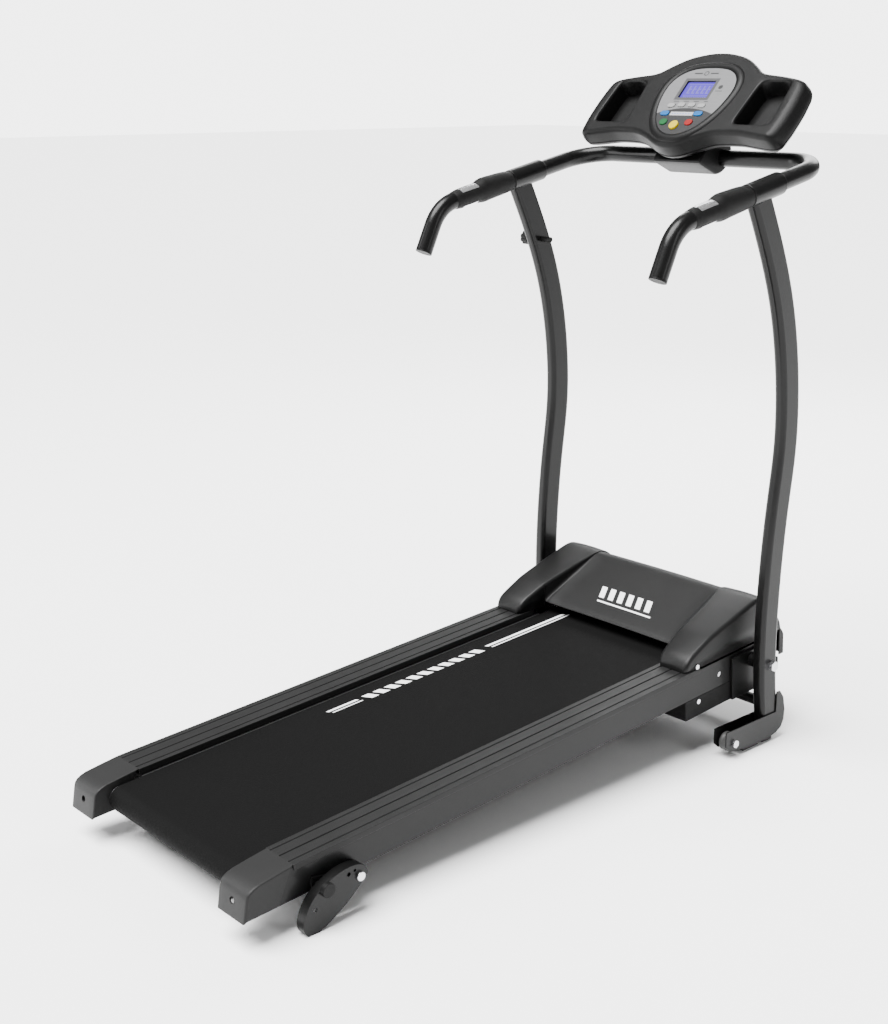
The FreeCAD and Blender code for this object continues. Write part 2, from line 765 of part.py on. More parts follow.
def bar_in_console():
    """Place of the crossbar's centre in the console's own side view."""
    run, rise = size("bar_front"), math.radians(size("handle_slope"))
    y = run * math.cos(rise) - size("handle_back") + size("console_back")
    z = run * math.sin(rise) + size("handle_height") - size("console_height")
    tilt = math.radians(size("console_tilt"))
    return y * math.cos(tilt) + z * math.sin(tilt), z * math.cos(tilt) - y * math.sin(tilt)


def neck_block(half_width, thinner):
    """The neck that carries the console down to the crossbar, outline given around the bar's centre."""
    y_bar, z_bar = bar_in_console()
    spots = [(-46 + thinner, 44), (-42 + thinner, 0), (-30 + thinner, -19 + thinner),
             (26 - thinner, -19 + thinner), (34 - thinner, 0), (30 - thinner, 44)]
    return prism([(y_bar + y, z_bar + z) for y, z in spots], -half_width, half_width)


def saddle_zone(y_bar, z_bar):
    """The solid part of the neck close around the bar."""
    return Part.makeBox(300, 120, 12, Vector(-150, y_bar - 60, z_bar))


BUTTONS = {
    # name: (x, height up the face, half length, half height)
    "speed_preset_button_1": (-34.0, 71.8, 8.0, 4.5),
    "speed_preset_button_2": (-11.4, 73.5, 8.0, 4.5),
    "speed_preset_button_3": (11.4, 73.5, 8.0, 4.5),
    "speed_preset_button_4": (34.0, 71.8, 8.0, 4.5),
    "slower_button": (-37.5, 53.6, 9.5, 5.0),
    "faster_button": (37.5, 53.6, 9.5, 5.0),
    "start_button": (-28.5, 33.5, 8.0, 6.5),
    "stop_button": (28.5, 33.5, 8.0, 6.5),
}


def key_place():
    return 0.0, size("key_height")


def oval(centre_x, centre_y, half_length, half_height, low, high):
    """A round-ended bar standing on the console's face."""
    flat = half_length - half_height
    corner = Vector(centre_x - flat, centre_y - half_height, low)
    solid = Part.makeBox(2 * flat, 2 * half_height, high - low, corner)
    for end in (-flat, flat):
        solid = solid.fuse(Part.makeCylinder(half_height, high - low, Vector(centre_x + end, centre_y, low)))
    return solid.removeSplitter()


def button_holes():
    gap, deep = size("side_gap"), size("console_shell") + 2
    holes = [oval(x, y, length + gap, height + gap, -deep, 2) for x, y, length, height in BUTTONS.values()]
    return holes[0].multiFuse(holes[1:])


def build_display():
    low, high = size("panel_low"), size("panel_high")
    radius, middle = size("panel_radius"), size("panel_shift")
    thickness, tall = size("panel_thickness"), high - low
    half = [(0.5, 0.09), (0.84, 0.33), (0.99, 0.62), (0.93, 0.83), (0.6, 0.97)]
    spots = [Vector(middle, low, 0)]
    spots += [Vector(middle + across * radius, low + up * tall, 0) for across, up in half]
    spots += [Vector(middle, high, 0)]
    spots += [Vector(middle - across * radius, low + up * tall, 0) for across, up in reversed(half)]
    curve = Part.BSplineCurve()
    curve.interpolate(spots, True)
    panel = Part.Face(Part.Wire(curve.toShape())).extrude(Vector(0, 0, thickness))
    panel = panel.cut(button_holes())
    wide, high = size("screen_width") - 4, size("screen_height") - 4
    panel = panel.cut(Part.makeBox(wide, high, 10, Vector(-wide / 2, size("screen_y") - high / 2, -5)))
    panel = panel.cut(Part.makeCylinder(size("key_radius") + 0.3, 10, Vector(*key_place(), -5)))
    put(shaped(panel), "display_panel", "console")

    shell = size("console_shell")
    depth = "-console_shell - 1.5 - slip_gap"
    screen = box(("screen_width", "screen_height", "3"), ("0", "screen_y", depth))
    put(screen, "lcd_screen", "console")
    board = box(("140", "120", "1.6"), ("0", "80", "-console_shell - 12"))
    put(board, "console_circuit_board", "console")

    rise = thickness + size("button_rise")
    for name, (x, y, length, height) in BUTTONS.items():
        cap = oval(x, y, length, height, -shell - 3, rise)
        flange = oval(x, y, length + 1.6, height + 1.6, -shell - 3, -shell - 2)
        put(shaped(cap.fuse(flange).removeSplitter()), name, "console")
    key = rod("key_radius", ("0", "key_height", "-1.4"), "panel_thickness + 5", "Z")
    put(key, "safety_key", "console")


# Deck: rails, caps, running surface.

def mirrored(points, side):
    """Sketch points with their first coordinate moved to the wanted side."""
    return [(f"{side} * ({x})", y) for x, y in points]


def build_rails():
    back = "-deck_reach + adjuster_inset"
    level = "board_top - roller_radius"
    rear = "rear_roller_inset - deck_reach"
    for name, side in SIDES:
        lip, web = "rail_face - rail_flange", "rail_face - rail_wall"
        section = [
            (lip, "rail_bottom"), ("rail_face", "rail_bottom"), ("rail_face", "rail_top"), (lip, "rail_top"),
            (lip, "rail_top - rail_wall"), (web, "rail_top - rail_wall"), (web, "rail_bottom + rail_wall"),
            (lip, "rail_bottom + rail_wall"),
        ]
        body = new_body()
        middle = f"-(rail_front + ({back})) / 2"
        pad(body, sketch(body, "XZ", [mirrored(section, side)], offset=middle), f"rail_front - ({back})")
        holes = [("0", "0", "pivot_bolt_radius + 1.5"), ("front_roller_y", level, "axle_radius + slip_gap")]
        if side < 0:
            holes.append(lock_hole())
        web = f"{side} * (rail_face - rail_wall / 2)"
        pocket(body, sketch(body, "YZ", [], holes, offset=web), "3 * rail_wall")
        reach = "axle_radius + slip_gap"
        slot = [
            (f"{rear} - 9", f"{level} - ({reach})"), (f"{rear} + 9", f"{level} - ({reach})"),
            (f"{rear} + 9", f"{level} + {reach}"), (f"{rear} - 9", f"{level} + {reach}"),
        ]
        pocket(body, sketch(body, "YZ", [slot], offset=web), "3 * rail_wall")
        notch = [
            (f"{back} - 1", "rail_top - 18"), ("-deck_reach + 37", "rail_top - 6.5"),
            ("-deck_reach + 96", "rail_top + 1"), (f"{back} - 1", "rail_top + 1"),
        ]
        flange = f"{side} * (rail_face - rail_flange / 2)"
        pocket(body, sketch(body, "YZ", [notch], offset=flange), "rail_flange + 2")
        put(body, f"{name}_side_rail", "deck")


def lock_hole():
    """Where the folded deck's rail meets the lock bolt: the hole's place in the deck frame."""
    forward, up = upright_y(size("lock_height")), size("lock_height - pivot_height")
    turned = math.radians(FOLD_ANGLE) - math.radians(size("deck_slope"))
    y = forward * math.cos(turned) - up * math.sin(turned)
    z = forward * math.sin(turned) + up * math.cos(turned)
    return f"{y:.3f}", f"{z:.3f}", "lock_radius + 1"


FOLD_ANGLE = 90.0


def build_foot_rails():
    back = "-deck_reach + cap_length + side_gap"
    top = "rail_top + foot_rail_plate"
    outer = "rail_face + foot_rail_lip"
    rails = []
    for _, side in SIDES:
        section = [
            ("foot_rail_inner", "board_top + 1"), ("foot_rail_inner + foot_rail_lip", "board_top + 1"),
            ("foot_rail_inner + foot_rail_lip", "rail_top"), ("rail_face", "rail_top"),
            ("rail_face", "rail_top - foot_rail_drop"), (outer, "rail_top - foot_rail_drop"), (outer, top),
        ]
        for number in reversed(range(3)):
            edge = f"foot_rail_inner + 9 + {number} * groove_pitch"
            section += [
                (f"{edge} + groove_width", top), (f"{edge} + groove_width", f"{top} - groove_depth"),
                (edge, f"{top} - groove_depth"), (edge, top),
            ]
        section.append(("foot_rail_inner", top))
        body = new_body()
        middle = f"-(foot_rail_front + ({back})) / 2"
        pad(body, sketch(body, "XZ", [mirrored(section, side)], offset=middle), f"foot_rail_front - ({back})")
        rails.append(body)
    put(group(*rails), "foot_rails", "deck")


def build_end_caps():
    caps = []
    axle = "rear_roller_inset - deck_reach"
    level = "board_top - roller_radius"
    for _, side in SIDES:
        body = new_body()
        middle = f"{side} * (cap_face + cap_inner) / 2"
        outline = [
            ("-deck_reach", "cap_bottom"), ("-deck_reach + cap_length - cap_rake", "cap_bottom"),
            ("-deck_reach + cap_length", "cap_top"), ("-deck_reach + 28", "cap_top - 5.5"),
            ("-deck_reach + 10", "cap_top - 13"),
        ]
        pad(body, sketch(body, "YZ", [outline], offset=middle), "cap_face - cap_inner")
        back = -size("deck_reach")
        fillet(body, "cap_round", lambda edge: runs_along(edge, "x") and edge.Vertexes[0].Point.z > 0
               and back + 5 < edge.Vertexes[0].Point.y < back + 40)
        inside = [
            ("-deck_reach + cap_wall", "cap_bottom - 1"), ("-deck_reach + cap_length + 1", "cap_bottom - 1"),
            ("-deck_reach + cap_length + 1", "rail_top + slip_gap"), ("-deck_reach + 36", "cap_top - 9"),
            ("-deck_reach + 12", "cap_top - 20"),
        ]
        pocket(body, sketch(body, "YZ", [inside], offset=middle), "cap_face - cap_inner - 2 * cap_wall")
        reach = "axle_radius + slip_gap"
        slot = [
            (f"{axle} - 8", f"{level} - ({reach})"), (f"{axle} + 8", f"{level} - ({reach})"),
            (f"{axle} + 8", f"{level} + {reach}"), (f"{axle} - 8", f"{level} + {reach}"),
        ]
        pocket(body, sketch(body, "YZ", [slot], offset=f"{side} * cap_inner"), "4 * cap_wall")
        sight = [(f"{side} * adjuster_x", level, "adjuster_sight")]
        pocket(body, sketch(body, "XZ", [], sight, offset="deck_reach - 7"), "8 * cap_wall")
        caps.append(body)
    put(group(*caps), "end_caps", "deck")


def build_running_surface():
    level = "board_top - roller_radius"
    rear = "rear_roller_inset - deck_reach"
    front = "front_roller_y"
    gap = "roller_radius + belt_thickness + board_roller_gap"
    board = span(("-board_half_width", f"{rear} + {gap}", "board_top - board_thickness"),
                 ("board_half_width", f"{front} - ({gap})", "board_top"))
    put(board, "deck_board", "deck")

    cushion_top = "board_top - board_thickness"
    cross_top = f"{cushion_top} - cushion_thickness"
    members, cushions = [], []
    for share in ("0.06", "0.5", "0.94"):
        place = f"{rear} + {gap} + {share} * ({front} - ({rear}) - 2 * ({gap}))"
        members.append(box(("2 * (rail_face - rail_wall)", "cross_width", "cross_height"),
                           ("0", place, f"{cross_top} - cross_height / 2")))
        for side in (1, -1):
            cushions.append(box(("cushion_length", "cross_width", "cushion_thickness"),
                                (f"{side} * cushion_x", place, f"{cushion_top} - cushion_thickness / 2")))
    put(group(*members), "deck_crossmembers", "deck")
    put(group(*cushions), "deck_cushions", "deck")

    low, high = size(rear), size(front)
    middle = size(level)
    half = size("belt_half_width")
    skins = []
    for radius in (size("roller_radius + belt_thickness"), size("roller_radius + slip_gap / 4")):
        loop = Part.makeCylinder(radius, 2 * half, Vector(-half, low, middle), Vector(1, 0, 0))
        loop = loop.fuse(Part.makeCylinder(radius, 2 * half, Vector(-half, high, middle), Vector(1, 0, 0)))
        run = Part.makeBox(2 * half, high - low, 2 * radius, Vector(-half, low, middle - radius))
        skins.append(loop.fuse(run).removeSplitter())
    put(shaped(skins[0].cut(skins[1])), "running_belt", "deck")

    bore = "axle_radius + running_gap"
    drum = rod("roller_radius", ("-roller_half_length", rear, level), "2 * roller_half_length")
    hole = rod(bore, ("-board_half_width", rear, level), "2 * board_half_width")
    put(cut(drum, hole), "rear_roller", "deck")
    drum = rod("roller_radius", ("-roller_half_length", front, level), "2 * roller_half_length")
    pulley = rod("roller_pulley_radius", ("-pulley_x - pulley_width / 2", front, level), "pulley_width")
    neck = rod("axle_radius + 4", ("-pulley_x", front, level), "pulley_x")
    hole = rod(bore, ("-board_half_width", front, level), "2 * board_half_width")
    put(cut(fuse(drum, neck, pulley), hole), "front_roller", "deck")

    axles = []
    for place in (rear, front):
        axles.append(rod("axle_radius", ("-axle_half_length", place, level), "2 * axle_half_length"))
    tapped = []
    for side in (1, -1):
        tapped.append(rod("adjuster_radius", (f"{side} * adjuster_x", f"{rear} - 20", level), "40", "Y"))
    put(group(cut(axles[0], *tapped), axles[1]), "roller_axles", "deck")

    adjusters = []
    start = "-deck_reach + adjuster_inset"
    for side in (1, -1):
        shank = rod("adjuster_radius", (f"{side} * adjuster_x", start, level), "adjuster_length", "Y")
        head = rod("adjuster_head", (f"{side} * adjuster_x", start, level), "8", "Y")
        adjusters.append(fuse(shank, head))
    put(group(*adjusters), "belt_adjusters", "deck")


# Drive inside the hood.

def build_drive():
    left = "motor_x - motor_length / 2"
    can = rod("motor_radius", (left, "motor_y", "motor_z"), "motor_length")
    base = span((f"{left} + 20", "motor_y - motor_radius", "tray_bottom + case_wall"),
                ("motor_x + motor_length / 2 - 20", "motor_y + motor_radius", "motor_z - motor_radius + 6"))
    bore = rod("shaft_radius + running_gap", (f"{left} - 1", "motor_y", "motor_z"), "motor_length + 2")
    put(cut(fuse(can, base), bore), "drive_motor", "deck")

    place = ("motor_y", "motor_z")
    shaft = rod("shaft_radius", ("-pulley_x - pulley_width / 2 - 4", *place),
                "pulley_x + pulley_width / 2 + 4 + motor_x + motor_length / 2 - 6")
    pulley = rod("motor_pulley_radius", ("-pulley_x - pulley_width / 2", *place), "pulley_width")
    wheel = rod("flywheel_radius", ("-pulley_x + pulley_width / 2 + 8", *place), "flywheel_width")
    put(fuse(shaft, pulley, wheel), "motor_shaft", "deck")

    width = size("pulley_width - 2")
    start = -size("pulley_x") - width / 2
    near = Vector(start, size("motor_y"), size("motor_z"))
    far = Vector(start, size("front_roller_y"), size("board_top - roller_radius"))
    thick = size("drive_belt_thickness")
    gap = size("slip_gap")
    loops = []
    small, large = size("motor_pulley_radius"), size("roller_pulley_radius")
    for extra in (gap + thick, gap):
        loops.append(wrapped(near, small + extra, far, large + extra))
    put(shaped(loops[0].cut(loops[1]).extrude(Vector(width, 0, 0))), "drive_belt", "deck")

    tray_floor = "tray_bottom + case_wall"
    plate = span(("60", "-40", f"{tray_floor} + 6"), ("200", "60", f"{tray_floor} + 7.6"))
    sink = span(("80", "10", f"{tray_floor} + 7.6"), ("180", "46", f"{tray_floor} + 32"))
    parts = [plate, sink]
    for x in ("64", "196"):
        for y in ("-36", "56"):
            parts.append(rod("3", (x, y, tray_floor), "6", "Z"))
    put(fuse(*parts), "motor_controller", "deck")


def wrapped(first, first_radius, second, second_radius):
    """A face in the YZ plane bounded by a band around two circles."""
    across = second - first
    lean = math.acos((first_radius - second_radius) / across.Length)
    heading = math.atan2(across.z, across.y)

    def spot(centre, radius, angle):
        return centre + Vector(0, math.cos(angle), math.sin(angle)) * radius

    up, down = heading + lean, heading - lean
    edges = [
        Part.LineSegment(spot(first, first_radius, up), spot(second, second_radius, up)).toShape(),
        Part.Arc(spot(second, second_radius, up), spot(second, second_radius, heading),
                 spot(second, second_radius, down)).toShape(),
        Part.LineSegment(spot(second, second_radius, down), spot(first, first_radius, down)).toShape(),
        Part.Arc(spot(first, first_radius, down), spot(first, first_radius, heading + math.pi),
                 spot(first, first_radius, up)).toShape(),
    ]
    return Part.Face(Part.Wire(edges))


# Hood, tray, hinge plates.

def hood_profiles(inset):
    """Side outlines of the hood's arms and of its middle panel, the walls moved in by an inset."""
    foot = size("rail_top + foot_rail_plate") + size("side_gap")
    base = foot if inset == 0 else foot - 10
    ridge, ridge_y = size("hood_ridge_height"), size("hood_ridge_y")
    front = size("hood_front") - inset
    back, lip, edge = size("hood_arm_back"), size("hood_panel_lip"), size("hood_panel_back")
    arm = [
        (back + inset, base), (back + inset, foot + 9 - inset), (back + 14 + inset, foot + 25 - inset),
        (edge, foot + 47 - inset), (-30, ridge - 13 - inset), (ridge_y, ridge - inset),
        (ridge_y + 22, ridge - 9 - inset), (front, 48 - inset), (front, base),
    ]
    panel = [
        (edge + inset, base + 8), (edge + inset, foot + 13 - inset), (lip, foot + 24 - inset),
        (-30, 82 - inset), (ridge_y, ridge - inset), (ridge_y + 22, ridge - 9 - inset), (front, 48 - inset),
        (front, base),
    ]
    return arm, panel


def build_hood():
    wide, wall = size("rail_face"), size("case_wall")
    arm, panel = hood_profiles(0)
    arm_in, panel_in = hood_profiles(wall)
    middle = hood_middle(0)
    hood = prism(panel, -wide, wide).common(middle).fuse(prism(arm, -wide, wide).cut(middle))
    room = hood_middle(wall)
    hollow = prism(panel_in, -wide, wide).common(hood_middle(-wall))
    hollow = hollow.fuse(prism(arm_in, -wide + wall, wide - wall).cut(room))
    foot = size("rail_top + foot_rail_plate") + size("side_gap")
    skirt = Part.makeBox(2 * (wide - wall), size("hood_front") - wall + 60, 40,
                         Vector(-wide + wall, -60, foot - 39))
    hood = hood.cut(hollow).cut(skirt)
    reach, step = size("bumper_reach"), size("hood_front")
    drop, up, back = -22.0, 18.0, step - wall
    bumper = prism([(back, drop), (step + reach, drop), (step + reach, up), (back, foot + 8)], -wide, wide)
    bumper = bumper.cut(prism([(back - 1, drop - 1), (step + reach - wall, drop - 1),
                               (step + reach - wall, up - 1), (back - 1, foot + 5)],
                              -wide + wall, wide - wall))
    for middle, width, height in ((size("inlet_x"), 29, 22), (size("switch_x"), 21, 16)):
        corner = Vector(middle - width / 2, step + reach - 20, size("inlet_z") - height / 2)
        bumper = bumper.cut(Part.makeBox(width, 30, height, corner))
    put(shaped(hood.fuse(bumper).removeSplitter()), "motor_hood", "deck")


def hood_middle(grow):
    """The zone between the hood's two arms, wider at the back than at the ridge."""
    inner, flare = size("hood_arm_inner") + grow, size("hood_arm_flare")
    back, front = size("hood_arm_back") - 10, size("hood_ridge_y")
    spots = [(-inner - flare, back), (inner + flare, back), (inner, front), (inner, front + 90),
             (-inner, front + 90), (-inner, front)]
    corners = [Vector(x, y, -100) for x, y in spots]
    return Part.Face(Part.makePolygon(corners + corners[:1])).extrude(Vector(0, 0, 300))


def build_tray():
    body = new_body()
    top = "rail_bottom - side_gap"
    front = "hood_front - case_wall - 2"
    outline = [
        ("tray_back", "tray_bottom"), (f"{front} - 26", "tray_bottom"), (front, "tray_bottom + 22"),
        (front, top), ("tray_back", top),
    ]
    pad(body, sketch(body, "YZ", [outline]), "2 * rail_face")
    inside = [
        ("tray_back + case_wall", "tray_bottom + case_wall"), (f"{front} - 27", "tray_bottom + case_wall"),
        (f"{front} - case_wall", "tray_bottom + 23"), (f"{front} - case_wall", "rail_top"),
        ("tray_back + case_wall", "rail_top"),
    ]
    pocket(body, sketch(body, "YZ", [inside]), "2 * (rail_face - case_wall)")
    put(body, "motor_tray", "deck")


def build_power():
    """Inlet and rocker switch on a small plate across an opening in the front bumper."""
    face = "hood_front + bumper_reach"
    socket = box(("29 - 2 * slip_gap", "24", "22 - 2 * slip_gap"), ("inlet_x", f"{face} - 11", "inlet_z"))
    well = box(("24", "32", "17"), ("inlet_x", face, "inlet_z"))
    pins = []
    for along in (-7, 0, 7):
        pins.append(box(("2", "13", "4"), (f"inlet_x + {along}", f"{face} - 11", "inlet_z - 2")))
    inlet = fuse(cut(socket, well), *pins)
    frame = box(("21 - 2 * slip_gap", "18", "16 - 2 * slip_gap"), ("switch_x", f"{face} - 8", "inlet_z"))
    opening = box(("17", "14", "12.6"), ("switch_x", face, "inlet_z"))
    put(group(inlet, cut(frame, opening)), "power_inlet", "deck")
    rocker = rod("7.5", ("switch_x - 7", f"{face} - 1", "inlet_z"), "14", "X")
    top = box(("20", "30", "8"), ("switch_x", face, "inlet_z + 9"))
    low = box(("20", "30", "8"), ("switch_x", face, "inlet_z - 9"))
    back = box(("20", "10", "20"), ("switch_x", f"{face} - 10.8", "inlet_z"))
    put(cut(rocker, top, low, back), "power_switch", "deck")


def build_hinge_plates():
    bore = "pivot_bolt_radius + running_gap"
    plates = []
    for _, side in SIDES:
        body = new_body()
        outline = [
            ("-56", "rail_bottom - 36"), ("38", "rail_bottom - 36"), ("44", "rail_bottom - 26"), ("44", "6"),
            ("26", "18"), ("-56", "18"),
        ]
        middle = f"{side} * (rail_face + hinge_plate / 2)"
        pad(body, sketch(body, "YZ", [outline], offset=middle), "hinge_plate")
        gap_end = "upright_x - upright_width / 2 - side_gap"
        boss_middle = f"{side} * (rail_face + ({gap_end})) / 2"
        pad(body, sketch(body, "YZ", [], [("0", "0", "hinge_boss_radius")], offset=boss_middle),
            f"{gap_end} - rail_face")
        pocket(body, sketch(body, "YZ", [], [("0", "0", bore)], offset=middle), "60")
        plates.append(body)
    put(group(*plates), "hinge_plates", "deck")


def build_case_screws():
    screws = []
    for side in (1, -1):
        for y, z in (("hood_arm_back + 30", "rail_top + foot_rail_plate + 5"),
                     ("tray_back + 33", "rail_bottom - 9")):
            start = "rail_face" if side > 0 else "-rail_face - 2.5"
            screws.append(rod("screw_radius", (start, y, z), "2.5"))
    put(group(*screws), "case_screws", "deck")


# Rear incline feet.

def incline_centre(side):
    """The foot's pivot in the deck frame."""
    x = side * size("rail_face + detent_plate + side_gap + incline_width / 2")
    return Vector(x, size("incline_bolt_inset") - size("deck_reach"), size("incline_bolt_z"))


LEAF = (
    # Outline about the pivot bolt, seen from the right with the deck's slope taken out.
    (14.0, 1.0), (10.0, 12.0), (-3.0, 18.5), (-24.0, 19.5), (-46.0, 14.5), (-68.0, 4.0), (-86.0, -11.0),
    (-97.0, -30.0), (-100.0, -48.0), (-94.0, -60.0), (-84.0, -64.5), (-70.0, -61.0), (-50.0, -51.0),
    (-30.0, -39.0), (-11.0, -25.0), (5.0, -11.0),
)


def leaf(centre, half, shrink):
    """The leaf-shaped plate, its thickness along X, cut level with the floor."""
    slope = math.radians(size("deck_slope"))
    spots = []
    turn = Rotation(Vector(1, 0, 0), -size("deck_slope"))
    for forward, up in LEAF:
        way = turn.multVec(Vector(0, forward, up))
        spots.append(Vector(centre.x - half, centre.y, centre.z) + way - way.normalize() * shrink)
    curve = Part.BSplineCurve()
    curve.interpolate(spots, True)
    solid = Part.Face(Part.Wire(curve.toShape())).extrude(Vector(2 * half, 0, 0))
    ground = Part.makeBox(900, 3000, 100, Vector(-450, -2000, -100))
    ground.Placement = Placement(Vector(0, 0, -size("pivot_height") / math.cos(slope)), turn)
    return solid.cut(ground)


def stud_place(centre):
    """The clamp stud's place on the arc slot's radius, and the direction it lies in from the pivot."""
    angle = math.radians(size("incline_stud_angle"))
    return centre + Vector(0, math.cos(angle), math.sin(angle)) * size("incline_slot_radius"), angle


def build_incline_feet():
    half, plate = size("incline_width") / 2, size("incline_plate")
    gap, clear = size("running_gap"), size("side_gap")
    rail, thick, ring = size("rail_face"), size("detent_plate"), size("incline_slot_radius")
    bolt, pin_radius = size("incline_bolt_radius"), size("incline_stud_radius")
    travel = math.radians(size("incline_travel"))
    across = Vector(1, 0, 0)
    brackets, bolts = [], []
    for name, side in SIDES:
        way = across * side
        centre = incline_centre(side)
        stud, angle = stud_place(centre)
        foot = leaf(centre, half, 0).cut(leaf(centre, half - plate, plate))
        inner_skin = Part.makeBox(plate + 1, 300, 300, Vector(-(plate + 1) / 2, -150, -150))
        inner_skin.translate(centre - way * (half - plate / 2))
        foot = foot.cut(inner_skin)
        for spot, radius in ((centre, bolt), (stud, pin_radius), (centre + Vector(0, -19, 10), 3.2),
                             (centre + Vector(0, -81, -19), 3.2), (centre + Vector(0, -8, 12), 2.2)):
            foot = foot.cut(Part.makeCylinder(radius + gap, 4 * half, spot - across * 2 * half, across))
        put(shaped(foot), f"{name}_incline_foot", "deck")

        face = Vector(side * rail, centre.y, centre.z)
        margin = 0.16
        bracket = sector(face, way, ring + 9, angle - margin, travel + 2 * margin, thick)
        bracket = bracket.fuse(Part.makeCylinder(15, thick, face, way))
        start = face - way
        slot_half = pin_radius + 0.6
        slot = sector(start, way, ring + slot_half, angle, travel, thick + 2)
        slot = slot.cut(Part.makeCylinder(ring - slot_half, thick + 4, start - way, way))
        for part in (0, travel):
            spot = start + Vector(0, math.cos(angle + part), math.sin(angle + part)) * ring
            slot = slot.fuse(Part.makeCylinder(slot_half, thick + 2, spot, way))
        bracket = bracket.cut(slot).cut(Part.makeCylinder(bolt + gap, thick + 2, start, way))
        brackets.append(bracket.removeSplitter())

        outer = centre.x + side * half
        reach = abs(outer - face.x) + clear
        shank = Part.makeCylinder(bolt, reach + 1, face, way)
        head = Part.makeCylinder(7, 4, centre + way * (half + clear), way)
        bolts.append(shank.fuse(head).removeSplitter())

        knob_face = stud + way * (half + clear)
        knob = Part.makeCylinder(size("clamp_knob_radius"), size("clamp_knob_width"), knob_face, way)
        pin_start = Vector(face.x + side * 0.8, stud.y, stud.z)
        pin = Part.makeCylinder(pin_radius, abs(knob_face.x - pin_start.x) + 1, pin_start, way)
        put(shaped(knob.fuse(pin).removeSplitter()), f"{name}_clamp_knob", "deck")
    put(shaped(Part.makeCompound(brackets)), "incline_brackets", "deck")
    put(shaped(Part.makeCompound(bolts)), "incline_bolts", "deck")


def sector(centre, way, radius, start, sweep, thick):
    """A slice of a disc about X, from one angle through a sweep in the YZ plane."""
    spokes = [centre + Vector(0, math.cos(start + part * sweep), math.sin(start + part * sweep)) * radius
              for part in (0, 0.5, 1)]
    edges = [
        Part.LineSegment(centre, spokes[0]).toShape(),
        Part.Arc(*spokes).toShape(),
        Part.LineSegment(spokes[2], centre).toShape(),
    ]
    return Part.Face(Part.Wire(edges)).extrude(way * thick)


BUILDERS = (
    build_feet, build_base_fittings, build_uprights, build_pivot_bolts, build_wheels, build_lock,
    build_handlebar, build_sleeves, build_grips, build_console_shells, build_display,
    build_rails, build_foot_rails, build_end_caps, build_running_surface, build_drive,
    build_hood, build_tray, build_power, build_hinge_plates, build_case_screws, build_incline_feet,
)


def check():
    """Stop if any object failed to compute or any sub-part isn't a sound solid."""
    for item in doc.Objects:
        if {"Invalid", "Error"} & set(item.State):
            raise RuntimeError(f"{item.Name} ({item.Label}) failed: {item.State}")
    for piece in pieces:
        shape = piece.Shape
        if shape.isNull() or not shape.isValid() or not shape.Solids:
            raise RuntimeError(piece.Label + " has no valid solid")


for build in BUILDERS:
    build()
doc.recompute()
check()
os.makedirs("parts", exist_ok=True)
for piece in pieces:
    piece.Shape.exportStep(f"parts/{piece.Label}.step")
    print(f"{piece.Label:28s} solids {len(piece.Shape.Solids)}  volume {piece.Shape.Volume / 1000:9.1f} cm3")
print(len(pieces), "sub-parts")
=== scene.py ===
import json
import math

import bmesh
import bpy
from mathutils import Matrix, Vector

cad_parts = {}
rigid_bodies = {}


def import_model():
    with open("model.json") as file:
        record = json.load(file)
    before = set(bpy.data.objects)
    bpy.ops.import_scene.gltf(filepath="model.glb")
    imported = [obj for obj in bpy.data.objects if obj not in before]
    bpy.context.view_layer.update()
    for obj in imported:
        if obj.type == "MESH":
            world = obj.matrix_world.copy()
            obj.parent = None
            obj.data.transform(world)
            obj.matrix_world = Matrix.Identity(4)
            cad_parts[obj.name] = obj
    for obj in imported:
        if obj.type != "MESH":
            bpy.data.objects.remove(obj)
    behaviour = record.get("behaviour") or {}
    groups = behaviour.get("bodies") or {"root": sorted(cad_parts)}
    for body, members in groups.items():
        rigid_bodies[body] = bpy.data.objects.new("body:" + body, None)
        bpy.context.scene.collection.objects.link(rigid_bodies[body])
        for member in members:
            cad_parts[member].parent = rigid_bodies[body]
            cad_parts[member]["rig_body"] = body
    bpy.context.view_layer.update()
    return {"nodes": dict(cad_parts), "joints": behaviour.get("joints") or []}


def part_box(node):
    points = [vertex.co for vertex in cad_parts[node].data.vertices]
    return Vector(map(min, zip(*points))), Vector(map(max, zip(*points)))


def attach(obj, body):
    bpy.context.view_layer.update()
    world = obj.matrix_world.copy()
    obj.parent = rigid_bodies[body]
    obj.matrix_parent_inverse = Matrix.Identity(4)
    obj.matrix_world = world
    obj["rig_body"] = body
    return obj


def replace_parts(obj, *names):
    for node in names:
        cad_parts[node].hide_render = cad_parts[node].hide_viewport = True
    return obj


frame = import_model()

nodes = frame["nodes"]
scene = bpy.context.scene
same_point = 2e-6


# ---------------------------------------------------------------- Studio
# A plain pale floor under one very large, soft overhead light. Two softboxes,
# on the left and behind, draw the long highlights along the tubes.

def aimed(name, light, spot, target):
    holder = bpy.data.objects.new(name, light)
    holder.location = spot
    holder.rotation_euler = (Vector(target) - Vector(spot)).to_track_quat("-Z", "Y").to_euler()
    scene.collection.objects.link(holder)


ceiling = bpy.data.lights.new("ceiling_light", "SUN")
ceiling.energy = 14.5
ceiling.angle = math.radians(46)
aimed("ceiling_light", ceiling, (-0.25, -0.75, 2.0), (0.0, 0.0, 0.0))
for name, spot, target, wide, high, power in (
        ("softbox_left", (-2.6, -2.2, 1.5), (0.0, 0.1, 0.6), 0.7, 2.4, 70),
        ("softbox_behind", (-1.3, 2.9, 2.3), (0.0, 0.2, 0.3), 2.6, 1.2, 90),
        ("softbox_right", (3.0, 0.6, 1.9), (0.0, 0.1, 0.5), 0.6, 1.8, 22)):
    lamp = bpy.data.lights.new(name, "AREA")
    lamp.shape = "RECTANGLE"
    lamp.size, lamp.size_y, lamp.energy = wide, high, power
    aimed(name, lamp, spot, target)

